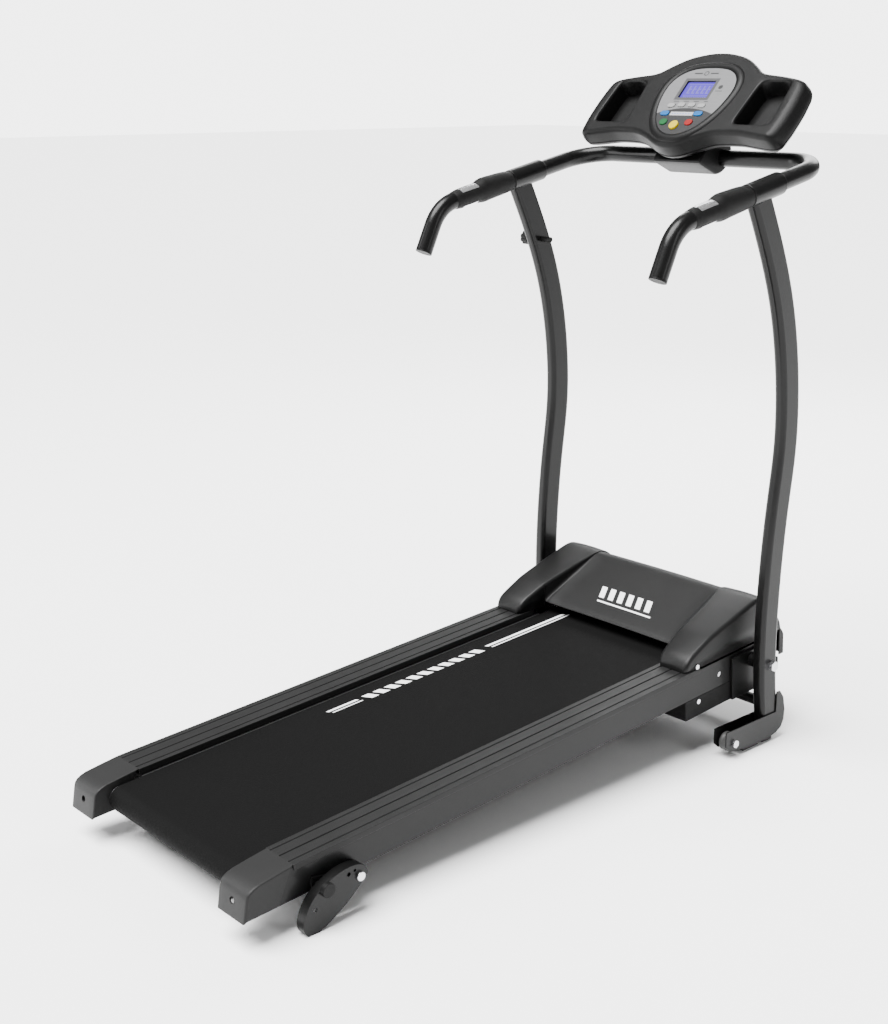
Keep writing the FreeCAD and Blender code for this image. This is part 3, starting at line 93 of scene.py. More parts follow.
air = bpy.data.worlds.new("studio_air")
scene.world = air
air.use_nodes = True
backdrop = air.node_tree.nodes["Background"]
backdrop.inputs["Color"].default_value = (1.0, 1.0, 1.0, 1.0)
seen = air.node_tree.nodes.new("ShaderNodeLightPath")
level = air.node_tree.nodes.new("ShaderNodeMapRange")
level.inputs["To Min"].default_value = 0.35
level.inputs["To Max"].default_value = 4.8
air.node_tree.links.new(seen.outputs["Is Camera Ray"], level.inputs["Value"])
air.node_tree.links.new(level.outputs["Result"], backdrop.inputs["Strength"])

floor_mesh = bpy.data.meshes.new("floor")
floor_mesh.from_pydata([(-30, -30, 0), (30, -30, 0), (30, 30, 0), (-30, 30, 0)], [], [(0, 1, 2, 3)])
floor = bpy.data.objects.new("floor", floor_mesh)
scene.collection.objects.link(floor)
floor_paint = bpy.data.materials.new("floor_white")
floor_paint.use_nodes = True
floor_paint.node_tree.nodes["Principled BSDF"].inputs["Base Color"].default_value = (0.95, 0.95, 0.95, 1.0)
floor_paint.node_tree.nodes["Principled BSDF"].inputs["Roughness"].default_value = 0.6
floor_mesh.materials.append(floor_paint)

camera = bpy.data.cameras.new("camera")
camera.lens = 53.675
camera.sensor_width = 36.0
camera_holder = bpy.data.objects.new("camera", camera)
heading, dip = math.radians(48.4), math.radians(15.7)
camera_holder.location = (1.8004, -1.6555, 1.1476)
gaze = Vector((-math.sin(heading) * math.cos(dip), math.cos(heading) * math.cos(dip), -math.sin(dip)))
camera_holder.rotation_euler = gaze.to_track_quat("-Z", "Y").to_euler()
scene.collection.objects.link(camera_holder)
scene.camera = camera_holder


# ------------------------------------------------------- Uprights and feet
# Two bent steel tubes stand in folded steel feet. All are powder-coated
# in gloss black, which lies a little uneven, like the skin of an orange.

class Wire:
    """A shader socket that can be added, multiplied and so on."""

    def __init__(self, paint, socket):
        self.paint = paint
        self.socket = socket

    def maths(self, operation, first, second):
        return self.paint.node("ShaderNodeMath", {"operation": operation}, {0: first, 1: second})

    def __add__(self, other):
        return self.maths("ADD", self, other)

    def __radd__(self, other):
        return self.maths("ADD", other, self)

    def __sub__(self, other):
        return self.maths("SUBTRACT", self, other)

    def __rsub__(self, other):
        return self.maths("SUBTRACT", other, self)

    def __mul__(self, other):
        return self.maths("MULTIPLY", self, other)

    def __rmul__(self, other):
        return self.maths("MULTIPLY", other, self)

    def __truediv__(self, other):
        return self.maths("DIVIDE", self, other)


class Paint:
    """A finish for one kind of piece. Places are read in metres, in the piece's own coordinates."""

    def __init__(self, name, softness=0.0004):
        self.softness = softness
        self.material = bpy.data.materials.new(name)
        self.material.use_nodes = True
        self.tree = self.material.node_tree
        self.shader = self.tree.nodes["Principled BSDF"]
        self.place = Wire(self, self.tree.nodes.new("ShaderNodeTexCoord").outputs["Object"])

    def feed(self, socket, value):
        if isinstance(value, Wire):
            self.tree.links.new(value.socket, socket)
        elif isinstance(value, tuple) and len(value) == 3 and socket.type == "RGBA":
            socket.default_value = (*value, 1.0)
        else:
            socket.default_value = value

    def node(self, kind, settings, values, output=0):
        """Any shader node: its settings first, then the values or links of its sockets."""
        made = self.tree.nodes.new(kind)
        for name, setting in settings.items():
            if name == "stops":
                for stop, (spot, tone) in zip(made.color_ramp.elements, setting):
                    stop.position = spot
                    stop.color = (tone, tone, tone, 1.0)
            else:
                setattr(made, name, setting)
        for name, value in values.items():
            self.feed(made.inputs[name], value)
        return Wire(self, made.outputs[output])

    def noise(self, scale, detail=2.0, place=None):
        values = {"Vector": place or self.place, "Scale": scale, "Detail": detail}
        return self.node("ShaderNodeTexNoise", {}, values)

    def mix(self, share, first, second):
        """A colour part of the way from the first to the second."""
        settings = {"data_type": "RGBA"}
        return self.node("ShaderNodeMix", settings, {"Factor": share, 6: first, 7: second}, output=2)

    def bump(self, height, distance, strength=1.0):
        return self.node("ShaderNodeBump", {}, {"Height": height, "Distance": distance, "Strength": strength})

    def split(self, place):
        """The three coordinates of a place."""
        return [self.node("ShaderNodeSeparateXYZ", {}, {"Vector": place}, output=axis) for axis in range(3)]

    def turned(self, origin, tilt):
        """Places counted from an origin and turned back about X by a tilt."""
        values = {"Vector": self.place, "Location": tuple(origin), "Rotation": (tilt, 0.0, 0.0)}
        return self.node("ShaderNodeMapping", {"vector_type": "TEXTURE"}, values)

    def step(self, value, edge, softness):
        """0 below the edge, 1 above it, with a soft change between."""
        settings = {"interpolation_type": "SMOOTHSTEP"}
        return self.node("ShaderNodeMapRange", settings,
                         {"Value": value, "From Min": edge - softness, "From Max": edge + softness})

    def cells(self, scale, output=0, **settings):
        """A pattern of small cells. Output 1 gives each cell a colour of its own."""
        return self.node("ShaderNodeTexVoronoi", settings, {"Vector": self.place, "Scale": scale}, output)

    def between(self, value, start, end, softness=None):
        """1 between two edges, 0 outside them."""
        soft = softness or self.softness
        return self.step(value, start, soft) - self.step(value, end, soft)

    def repeated(self, value):
        """The value without its whole number, so that what is drawn with it comes again and again."""
        return self.node("ShaderNodeMath", {"operation": "FRACT"}, {0: value})

    def stretched(self, amounts, scale):
        """Noise drawn out by a different amount along each axis."""
        settings = {"operation": "MULTIPLY"}
        place = self.node("ShaderNodeVectorMath", settings, {0: self.place, 1: amounts})
        return self.node("ShaderNodeTexNoise", {}, {"Vector": place, "Scale": scale})

    def give(self, **values):
        """Set the shader's own sockets, named with _ for a space."""
        for name, value in values.items():
            self.feed(self.shader.inputs[name.replace("_", " ")], value)
        return self.material


def grey(tone):
    return (tone, tone, tone)


def cover(piece, paint):
    """Lay a finish over every face of a piece."""
    piece.data.materials.clear()
    piece.data.materials.append(paint)


def is_corner(edge, degrees):
    """Whether two faces meet along an edge at more than an angle."""
    return len(edge.link_faces) == 2 and edge.calc_face_angle() > math.radians(degrees)


def eased(node, width, paint, segments=3):
    """A copy of a CAD piece with its sharp edges eased, which stands for it."""
    source = nodes[node]
    made = bmesh.new()
    made.from_mesh(source.data)
    bmesh.ops.remove_doubles(made, verts=made.verts, dist=same_point)
    bmesh.ops.dissolve_limit(made, angle_limit=math.radians(0.5), verts=made.verts, edges=made.edges)
    sharp = [edge for edge in made.edges if is_corner(edge, 32)]
    bmesh.ops.bevel(made, geom=sharp, offset=width / 1000, segments=segments, profile=0.5, affect="EDGES",
                    clamp_overlap=True)
    for face in made.faces:
        face.smooth = True
    for edge in made.edges:
        if is_corner(edge, 40):
            edge.smooth = False
    mesh = bpy.data.meshes.new(node + "_eased")
    made.to_mesh(mesh)
    made.free()
    piece = bpy.data.objects.new(node + "_eased", mesh)
    scene.collection.objects.link(piece)
    piece.modifiers.new("even_light", "WEIGHTED_NORMAL").keep_sharp = True
    cover(piece, paint)
    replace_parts(piece, node)
    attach(piece, source["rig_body"])
    return piece


def powder_coat(name, gloss):
    """Gloss black powder coat: a fine orange-peel ripple, and slightly duller clouds."""
    paint = Paint(name)
    ripple = paint.noise(420.0, 1.0)
    clouds = paint.noise(9.0, 3.0)
    rubbed = paint.noise(160.0, 4.0)
    tone = paint.mix(clouds, grey(0.0018), grey(0.0034))
    return paint.give(Base_Color=tone, Roughness=gloss + 0.10 * clouds + 0.05 * rubbed,
                      Specular_IOR_Level=0.13, Coat_Weight=0.05 + 0.05 * clouds, Coat_Roughness=0.12,
                      Normal=paint.bump(ripple, 0.0004, 0.25))


coat = powder_coat("gloss_powder_coat", 0.24)
for name in ("right_upright", "left_upright"):
    cover(nodes[name], coat)
for name in ("right_foot", "left_foot"):
    eased(name, 0.7, coat)
eased("base_cross_tube", 0.8, powder_coat("satin_powder_coat", 0.42))


# Rubber pads under the feet: dull, with a fine sandy surface.

rubber = Paint("pad_rubber")
grains = rubber.noise(1400.0, 2.0)
eased("foot_pads", 1.5, rubber.give(Base_Color=rubber.mix(grains, grey(0.012), grey(0.03)),
                                   Roughness=0.72 + 0.2 * grains, Normal=rubber.bump(grains, 0.0004, 0.5)))


# -------------------------------------------------------- Bolts and wheels
# The hinge bolts, the wheel axles and the incline bolts are bright zinc-plated
# steel. The wheels are moulded plastic with a crowned tread and a dished side.

def plated(name):
    """Zinc-plated steel: bright, with fine turning marks and a little dulling."""
    paint = Paint(name)
    marks = paint.noise(700.0, 2.0)
    dulled = paint.noise(60.0, 3.0)
    return paint.give(Base_Color=paint.mix(dulled, (0.74, 0.74, 0.76), (0.55, 0.55, 0.57)), Metallic=1.0,
                      Roughness=0.16 + 0.16 * dulled + 0.05 * marks, Normal=paint.bump(marks, 0.0001, 0.3))


zinc = plated("zinc_plate")
for name in ("pivot_bolts", "wheel_axles", "incline_bolts"):
    eased(name, 0.8, zinc)
for name in ("roller_axles", "belt_adjusters", "console_screws", "rear_roller", "front_roller",
             "motor_shaft"):
    cover(nodes[name], zinc)


def shade(made, degrees):
    """Shade every face smoothly, with a crisp edge where faces meet at more than an angle."""
    for face in made.faces:
        face.smooth = True
    for edge in made.edges:
        edge.smooth = not is_corner(edge, degrees)


def build(name, points, faces, body, paint):
    """A new piece from points in the row frame, in metres, that rides on a body."""
    mesh = bpy.data.meshes.new(name)
    mesh.from_pydata([tuple(point) for point in points], [], faces)
    made = bmesh.new()
    made.from_mesh(mesh)
    bmesh.ops.remove_doubles(made, verts=made.verts, dist=same_point)
    bmesh.ops.recalc_face_normals(made, faces=made.faces)
    shade(made, 38)
    made.to_mesh(mesh)
    made.free()
    piece = bpy.data.objects.new(name, mesh)
    scene.collection.objects.link(piece)
    cover(piece, paint)
    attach(piece, body)
    return piece


def strip(first, second, closed=True):
    """Faces between two rings of point numbers."""
    count = len(first)
    return [(first[i], first[(i + 1) % count], second[(i + 1) % count], second[i])
            for i in range(count if closed else count - 1)]


def turned_piece(name, profile, centre, body, paint, steps=64):
    """A piece turned about X. The profile gives places along X and radii, in millimetres."""
    points, faces, rings = [], [], []
    for along, radius in profile:
        ring = []
        for step in range(steps):
            angle = 2 * math.pi * step / steps
            reach = radius / 1000
            ring.append(len(points))
            points.append(centre + Vector((along / 1000, reach * math.cos(angle), reach * math.sin(angle))))
        rings.append(ring)
    for first, second in zip(rings, rings[1:]):
        faces += strip(first, second)
    faces += [tuple(rings[0]), tuple(rings[-1])]
    return build(name, points, faces, body, paint)


tread = Paint("wheel_plastic")
scuffs = tread.noise(220.0, 4.0)
wheel_paint = tread.give(Base_Color=tread.mix(scuffs, grey(0.014), (0.035, 0.035, 0.034)),
                         Roughness=0.45 + 0.3 * scuffs, Normal=tread.bump(scuffs, 0.0003, 0.4))
for side in ("right", "left"):
    low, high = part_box(side + "_transport_wheel")
    middle, half, radius = (low + high) / 2, 500 * (high.x - low.x), 500 * (high.z - low.z)
    section = [
        # the hub and the dished side
        (-half + 1.5, 5.2), (-half, 5.6), (-half, 7.6), (-half + 1.6, 8.4), (-half + 1.6, radius - 4),
        # the rim and the tread, with a groove round the middle
        (-half + 0.6, radius - 3), (-half + 0.9, radius - 1.6), (-half + 2.6, radius - 0.3), (-3, radius),
        (-1.2, radius - 0.9), (1.2, radius - 0.9),
    ]
    section += [(-along, reach) for along, reach in reversed(section[:-2])]
    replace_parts(turned_piece(side + "_wheel_tread", section, middle, side + "_transport_wheel", wheel_paint),
                side + "_transport_wheel")


# ------------------------------------------------- Handlebar and its sleeves
# One bent steel tube makes the whole loop. A sleeve on each side joins it to
# the uprights, and a plastic plug closes each end.

cover(nodes["handlebar"], coat)
eased("handle_sleeves", 1.6, coat)

grain = Paint("grained_plastic")
leather = grain.cells(950.0, feature="SMOOTH_F1")
clouds = grain.noise(14.0, 3.0)
grained = grain.give(Base_Color=grain.mix(clouds, grey(0.0022), grey(0.0040)),
                     Roughness=0.42 + 0.12 * clouds, Specular_IOR_Level=0.13,
                     Normal=grain.bump(leather, 0.0005, 0.35))
eased("handle_end_plugs", 0.8, grained)


# ------------------------------------------------------------- Pulse grips
# Each grip is a moulded shell around the bar. It has a hump for the palm and,
# behind it, a waist that holds two polished sensor plates.

class Bench:
    """A working frame tilted about X. Its places are in millimetres and come out in metres."""

    def __init__(self, known, local, tilt):
        self.tilt = tilt
        self.turn = Matrix.Rotation(tilt, 3, "X")
        self.origin = Vector(known) - self.turn @ (Vector(local) / 1000)

    def at(self, x, y, z):
        return self.origin + self.turn @ Vector((x, y, z)) / 1000


low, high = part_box("handle_sleeves")
bars = Bench((low + high) / 2, (0, 11, 0), math.radians(12.1))
bar_x = 272.0
grip_radii = [
    # place along the bar, radius all round, extra height on top, extra depth below
    (-173, 15.2, 0.0, 0.0), (-171, 15.9, 0.0, 0.0), (-166, 16.6, 0.0, 0.0), (-160, 17.2, 0.3, 0.2),
    (-156, 17.6, 0.0, 0.0), (-150, 17.9, -0.8, -0.4), (-128, 18.3, -1.6, -0.6), (-118, 18.5, -1.4, 0.0),
    (-111, 18.8, 0.6, 0.8), (-105, 19.1, 2.8, 1.6), (-98, 19.2, 3.9, 1.6), (-88, 19.2, 3.6, 1.0),
    (-60, 19.2, 2.2, 0.4), (-46, 19.1, 1.2, 0.1), (-40, 18.9, 0.6, 0.0), (-34, 18.6, 0.0, 0.0),
    (-31, 17.8, 0.0, 0.0), (-30.5, 15.6, 0.0, 0.0),
]


def grip_ring(along, radius, above, below, middle, steps=48, grow=0.0, arc=(0.0, 2 * math.pi)):
    ring = []
    for step in range(steps):
        angle = arc[0] + (arc[1] - arc[0]) * step / (steps if arc[1] - arc[0] > 6 else steps - 1)
        lift = max(0.0, math.sin(angle)) ** 1.6 * above + max(0.0, -math.sin(angle)) ** 1.6 * below
        reach = radius + lift + grow
        ring.append(bars.at(middle + reach * math.cos(angle), along, reach * math.sin(angle)))
    return ring


fine = Paint("grip_plastic")
pebbles = fine.cells(1300.0, feature="F1")
grip_paint = fine.give(Base_Color=fine.mix(fine.noise(30.0), grey(0.0022), grey(0.0042)),
                       Roughness=0.5 + 0.12 * pebbles, Specular_IOR_Level=0.11,
                       Normal=fine.bump(pebbles, 0.0004, 0.5))
steel = Paint("polished_steel")
hairline = steel.noise(900.0, 2.0)
plate_paint = steel.give(Base_Color=(0.86, 0.86, 0.87), Metallic=1.0, Roughness=0.2 + 0.12 * hairline,
                         Normal=steel.bump(hairline, 0.0001, 0.2))


def round_edge(sheet):
    """The point numbers all the way round a sheet of rows."""
    back = [row[-1] for row in sheet[-2::-1]]
    return [row[0] for row in sheet] + sheet[-1][1:] + back + sheet[0][-2:0:-1]


plate_start, plate_length = -158.0, 41.0
plate_rows, plate_columns = 9, 21
grip_points, grip_faces, plate_points, plate_faces = [], [], [], []
for side in (1, -1):
    rings = []
    for row in grip_radii:
        spots = grip_ring(*row, side * bar_x)
        rings.append(list(range(len(grip_points), len(grip_points) + len(spots))))
        grip_points += spots
    for first, second in zip(rings, rings[1:] + rings[:1]):
        grip_faces += strip(first, second)
    for arc in ((0.72, math.pi - 0.72), (math.pi + 0.80, 2 * math.pi - 0.80)):
        sheets = []
        for grow in (0.55, -0.9):
            for number in range(plate_rows):
                along = plate_start + plate_length * number / (plate_rows - 1)
                crown = 1.2 * math.sin(math.pi * (along - plate_start) / plate_length)
                spots = grip_ring(along, 17.7, -0.6 + 0.4 * crown, -0.2, side * bar_x, plate_columns,
                                  grow, arc)
                sheets.append(list(range(len(plate_points), len(plate_points) + plate_columns)))
                plate_points += spots
        outside, underside = sheets[:plate_rows], sheets[plate_rows:]
        for sheet in (outside, underside):
            for first, second in zip(sheet, sheet[1:]):
                plate_faces += strip(first, second, closed=False)
        plate_faces += strip(round_edge(outside), round_edge(underside))
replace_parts(build("grip_shells", grip_points, grip_faces, "base", grip_paint), "pulse_grips")
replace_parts(build("sensor_plates", plate_points, plate_faces, "base", plate_paint), "pulse_plates")


# ------------------------------------------------------------- Running deck
# Steel side rails, ribbed foot rails of pressed plastic on top of them, and a
# moulded cap on each rear end. A woven belt runs over a board between them.

pivot = next(joint for joint in frame["joints"] if joint["name"] == "deck_fold")
slope = math.radians(4.07)
deck = Bench(pivot["pos_m"], (0, 0, 0), slope)


def moulded(name, dark, pale, gloss, pit=900.0, depth=0.0004):
    """Moulded plastic or rubber: a fine spark-eroded grain, and slow changes of tone."""
    paint = Paint(name)
    pits = paint.noise(pit, 2.0)
    tones = paint.noise(11.0, 3.0)
    rubbed = paint.noise(130.0, 4.0)
    return paint.give(Base_Color=paint.mix(tones, grey(dark), grey(pale)),
                      Roughness=gloss + 0.10 * tones + 0.06 * rubbed, Specular_IOR_Level=0.11,
                      Normal=paint.bump(pits, depth, 0.45))


rail_coat = powder_coat("rail_powder_coat", 0.34)
for name in ("right_side_rail", "left_side_rail", "hinge_plates"):
    eased(name, 1.2, rail_coat)

ribbed = Paint("foot_rail_plastic")
across, along, up = ribbed.split(ribbed.turned(deck.origin, slope))
ridges = ribbed.node("ShaderNodeMath", {"operation": "SINE"}, {0: across * 2400.0})
worn = ribbed.noise(18.0, 4.0)
streaks = ribbed.stretched((90.0, 2.5, 90.0), 2.0)
eased("foot_rails", 0.7, ribbed.give(
    Base_Color=ribbed.mix(streaks * 0.7 + worn * 0.3, grey(0.0045), grey(0.0095)),
    Roughness=0.42 + 0.16 * worn, Specular_IOR_Level=0.16, Normal=ribbed.bump(ridges, 0.0002, 0.35)))


def grid(rows, frame_of, points, faces, closed=False):
    """Rows of places joined into faces."""
    numbered = []
    for row in rows:
        numbered.append(list(range(len(points), len(points) + len(row))))
        points += [frame_of(*spot) for spot in row]
    for first, second in zip(numbered, numbered[1:]):
        faces += strip(first, second, closed)


def outward(piece):
    """Turn a shell's faces the right way: its upper faces look up."""
    if sum(face.normal.z * face.area for face in piece.data.polygons) < 0:
        piece.data.flip_normals()


def wall_out(piece, thickness):
    """Give a thin shell its wall, inwards from its outer skin."""
    skin = piece.modifiers.new("wall", "SOLIDIFY")
    skin.thickness = thickness / 1000
    skin.offset = -1.0


def settled(piece):
    """Turn a piece's modifiers into plain mesh."""
    depsgraph = bpy.context.evaluated_depsgraph_get()
    mesh = bpy.data.meshes.new_from_object(piece.evaluated_get(depsgraph))
    piece.modifiers.clear()
    piece.data = mesh


def evened(piece):
    """Shade smoothly over small steps, and keep real edges crisp."""
    made = bmesh.new()
    made.from_mesh(piece.data)
    shade(made, 32)
    made.to_mesh(piece.data)
    made.free()
    piece.modifiers.new("even_light", "WEIGHTED_NORMAL").keep_sharp = True


cap_points, cap_faces = [], []
cap_outline = [(-1107.0, -26.5), (-1103.5, -11.0), (-1099.5, 6.0), (-1097.2, 12.5), (-1093.0, 17.2),
               (-1086.0, 20.8), (-1076.0, 23.4), (-1050.0, 26.0), (-1018.0, 28.7), (-1046.0, -26.5)]
# Places across a cap, and how far its outline is drawn in there.
cap_stations = [(173.0, 2.4), (173.7, 1.0), (175.4, 0.0), (190, 0.0), (206, 0.0), (222, 0.0), (236.4, 0.0),
                (238.6, 0.7), (239.6, 1.8), (240.0, 3.4)]
cap_wall = 2.2
adjuster_x, adjuster_z, sight_radius = 206, -3, 5.2


def inset(outline, by):
    """An outline drawn in by a distance."""
    drawn, count = [], len(outline)
    for number in range(count):
        (y0, z0), (y1, z1), (y2, z2) = outline[number - 1], outline[number], outline[(number + 1) % count]
        before, after = Vector((y1 - y0, z1 - z0)).normalized(), Vector((y2 - y1, z2 - z1)).normalized()
        way = Vector((before.y + after.y, -before.x - after.x))
        drawn.append((y1 + way.x * by / (1 + before.dot(after)), z1 + way.y * by / (1 + before.dot(after))))
    return drawn


cap_paint = moulded("cap_plastic", 0.0108, 0.0151, 0.34, 1200.0, 0.0003)
for side in (1, -1):
    rows = []
    for x, by in cap_stations:
        drawn = inset(cap_outline, by)
        rows.append([(side * x, y, z) for y, z in drawn[:-1]])
    grid(rows, deck.at, cap_points, cap_faces)
    for x, by in (cap_stations[0], cap_stations[-1]):
        start = len(cap_points)
        cap_points += [deck.at(side * x, y, z) for y, z in inset(cap_outline, by)]
        cap_faces.append(tuple(range(start, start + len(cap_outline))))
caps = build("rear_caps", cap_points, cap_faces, "deck", cap_paint)
outward(caps)
wall_out(caps, cap_wall)


def circle(x, z, radius, y, steps=24):
    """Places round a hole that runs along Y."""
    angles = [2 * math.pi * number / steps for number in range(steps)]
    return [(x + radius * math.cos(angle), y, z + radius * math.sin(angle)) for angle in angles]


for side in (1, -1):
    points, faces = [], []
    ends = [circle(side * adjuster_x, adjuster_z, sight_radius, y) for y in (-1120, -1085)]
    grid(ends, deck.at, points, faces, closed=True)
    count = len(ends[0])
    faces += [tuple(range(count)), tuple(range(count, 2 * count))]
    drill = build("drill", points, faces, "deck", cap_paint)
    bored = caps.modifiers.new("adjuster_hole", "BOOLEAN")
    bored.operation, bored.object = "DIFFERENCE", drill
    settled(caps)
    bpy.data.objects.remove(drill)
evened(caps)
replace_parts(caps, "end_caps")

weave = Paint("belt_weave")
across, along, up = weave.split(weave.turned(deck.origin, slope))
diamonds = weave.cells(420.0, feature="F1", distance="MANHATTAN")
traffic = weave.noise(5.0, 4.0)
dust = weave.noise(300.0, 3.0)

bar = weave.between

# The printed lines: two long stripes at the front, a run of slanted dashes and
# two short closing stripes, all along the left of the belt.
top_side = weave.step(up, 0.0125, 0.0005)
lean = along - across * 0.55
dashes = bar(weave.repeated(lean / 0.0252), 0.16, 0.78, 0.02)
stripes = (bar(across, -0.132, -0.126) + bar(across, -0.121, -0.118)) * bar(lean, -0.235, -0.03)
closing = (bar(across, -0.132, -0.127) + bar(across, -0.122, -0.1195)) * bar(lean, -0.605, -0.54)
marks = bar(across, -0.134, -0.116) * dashes * bar(lean, -0.527, -0.249)
print_mask = top_side * (stripes + closing + marks) * (0.82 + 0.18 * dust)
cloth = weave.mix(traffic * 0.6 + dust * 0.4, grey(0.0018), grey(0.0036))
belt_paint = weave.give(Base_Color=weave.mix(print_mask, cloth, grey(0.80)),
                        Roughness=0.62 + 0.18 * traffic - 0.12 * print_mask, Specular_IOR_Level=0.04,
                        Normal=weave.bump(diamonds, 0.0006, 0.5))
cover(nodes["running_belt"], belt_paint)

chipboard = Paint("blackened_board")
chips = chipboard.cells(500.0, output=1)
cover(nodes["deck_board"], chipboard.give(Base_Color=chipboard.mix(0.004, grey(0.004), chips),
                                          Roughness=0.5 + 0.2 * chipboard.noise(80.0)))
eased("deck_crossmembers", 0.8, rail_coat)
eased("deck_cushions", 1.0, moulded("cushion_rubber", 0.0036, 0.0072, 0.75, 700.0))


# --------------------------------------------------------------- Motor hood
# One large moulding covers the motor. Its two arms run back over the foot
# rails, and a lower panel joins them. Screws hold it to the rails.

def rounded_line(line, rounds=3):
    """A line with its corners cut again and again until they are round."""
    for _ in range(rounds):
        softer = [line[0]]
        for (y1, z1), (y2, z2) in zip(line, line[1:]):
            length = math.hypot(y2 - y1, z2 - z1)
            share = min(0.25, 7.0 / max(length, 0.001))
            softer += [(y1 + share * (y2 - y1), z1 + share * (z2 - z1)),
                       (y2 - share * (y2 - y1), z2 - share * (z2 - z1))]
        line = softer + [line[-1]]
    return line


def height_on(line, y):
    """How high a line is at a place along it."""
    for (y1, z1), (y2, z2) in zip(line, line[1:]):
        if y1 <= y <= y2 and y2 > y1:
            return z1 + (z2 - z1) * (y - y1) / (y2 - y1)
    return line[-1][1] if y > line[-1][0] else line[0][1]


def arc_points(centre_x, centre_z, radius, start, end, count=5):
    """Points on part of a circle, with angles in degrees."""
    spots = []
    for number in range(count):
        angle = math.radians(start + (end - start) * number / (count - 1))
        spots.append((centre_x + radius * math.cos(angle), centre_z + radius * math.sin(angle)))
    return spots


hood_foot, hood_half_width, hood_wall = 28.4, 237.5, 2.4
panel_end = -113.9
arm_line = rounded_line([(-178, 30), (-177, 38), (-164, 53), (-112, 75), (-30, 96), (26, 108.6), (52, 100),
                         (89.9, 48), (90, 30)])
panel_line = rounded_line([(-116, 36), (-110, 43), (-92, 52), (-30, 82), (26, 108.6), (60, 90)])


def half_section(y, top, floor):
    """Half of the hood's section: the outer wall, the arm's crown, its inner wall and the panel."""
    outer, inner = hood_half_width, 175 - 25 * min(1.0, max(0.0, (y + 178) / 208))
    nose = max(0.0, -168 - y)
    outer, inner = outer - 0.05 * nose ** 2, inner + 0.05 * nose ** 2
    bend = min(8.0, 0.6 * max(0.5, top - hood_foot))
    fold = min(6.0, 0.45 * max(0.2, top - floor))
    spots = [(outer, hood_foot), (outer, hood_foot + 0.5 * (top - bend - hood_foot))]
    spots += arc_points(outer - bend, top - bend, bend, 0, 90, 6)
    for share in (0.35, 0.5, 0.65):
        spots.append((outer - (outer - inner) * share, top + 1.4 * math.sin(math.pi * share)))
    spots += arc_points(inner + fold, top - fold, fold, 90, 180, 5)
    spots += arc_points(inner - fold, floor + fold, fold, 0, -90, 5)
    reach = inner - fold
    return spots, [(reach * share, floor + 1.2 * (1 - share ** 2)) for share in (0.8, 0.6, 0.4, 0.2, 0.0)]


hood_points, hood_faces = [], []
arm_rows, panel_rows = [], []
for y, top in arm_line:
    floor = min(top, height_on(panel_line, y)) if y > -116 else hood_foot
    if y > 60:
        floor = top
    arm, panel = half_section(y, max(top, hood_foot + 0.6), floor)
    if y > -114:
        whole = arm + panel
        panel_rows.append([(x, y, z) for x, z in whole] + [(-x, y, z) for x, z in reversed(whole[:-1])])
    if y <= -112:
        arm_rows.append([(x, y, z) for x, z in arm[:-5]] + [(arm[-6][0], y, hood_foot)])
low_arm, _ = half_section(panel_end, height_on(arm_line, panel_end), hood_foot)
arm_rows.append([(x, panel_end, z) for x, z in low_arm[:-5]] + [(low_arm[-6][0], panel_end, hood_foot)])
arm_rows.sort(key=lambda row: row[0][1])
panel_top = height_on(panel_line, panel_end)
first_arm, first_panel = half_section(panel_end, height_on(arm_line, panel_end), panel_top)
whole = first_arm + first_panel
far_half = [(-x, panel_end, z) for x, z in reversed(whole[:-1])]
panel_rows.insert(0, [(x, panel_end, z) for x, z in whole] + far_half)
grid(panel_rows, deck.at, hood_points, hood_faces)
for side in (1, -1):
    grid([[(side * x, y, z) for x, y, z in row] for row in arm_rows], deck.at, hood_points, hood_faces)
    start = arm_rows[0]
    numbers = list(range(len(hood_points), len(hood_points) + len(start)))
    hood_points += [deck.at(side * x, y, z) for x, y, z in start]
    hood_faces.append(tuple(numbers))

# The bumper wraps round the front of the deck, with two openings for the power inlet and the switch.
nose = rounded_line([(88, 34), (99.8, 18), (100, 10)], 2)
nose += [(100, 5), (100, 2), (100, -14), (100, -17), (100, -22)]
widths = [-hood_half_width, -228, -120, 0, 60, 105.5, 134.5, 149.5, 170.5, 228, hood_half_width]
for (y1, z1), (y2, z2) in zip(nose, nose[1:]):
    for x1, x2 in zip(widths, widths[1:]):
        inlet_hole = x1 == 105.5 and z1 <= 5 and z2 >= -17
        switch_hole = x1 == 149.5 and z1 <= 2 and z2 >= -14
        if inlet_hole or switch_hole:
            continue
        start = len(hood_points)
        hood_points += [deck.at(x1, y1, z1), deck.at(x2, y1, z1), deck.at(x2, y2, z2), deck.at(x1, y2, z2)]
        hood_faces.append((start, start + 1, start + 2, start + 3))
for x in (-hood_half_width, hood_half_width):
    start = len(hood_points)
    rim = nose + [(88, -22)]
    hood_points += [deck.at(x, y, z) for y, z in rim]
    hood_faces.append(tuple(range(start, start + len(rim))))

shell = Paint("hood_plastic")
pits = shell.noise(1100.0, 2.0)
tones = shell.noise(7.0, 3.0)
across, along, up = shell.split(shell.turned(deck.origin, slope))
inside = shell.between

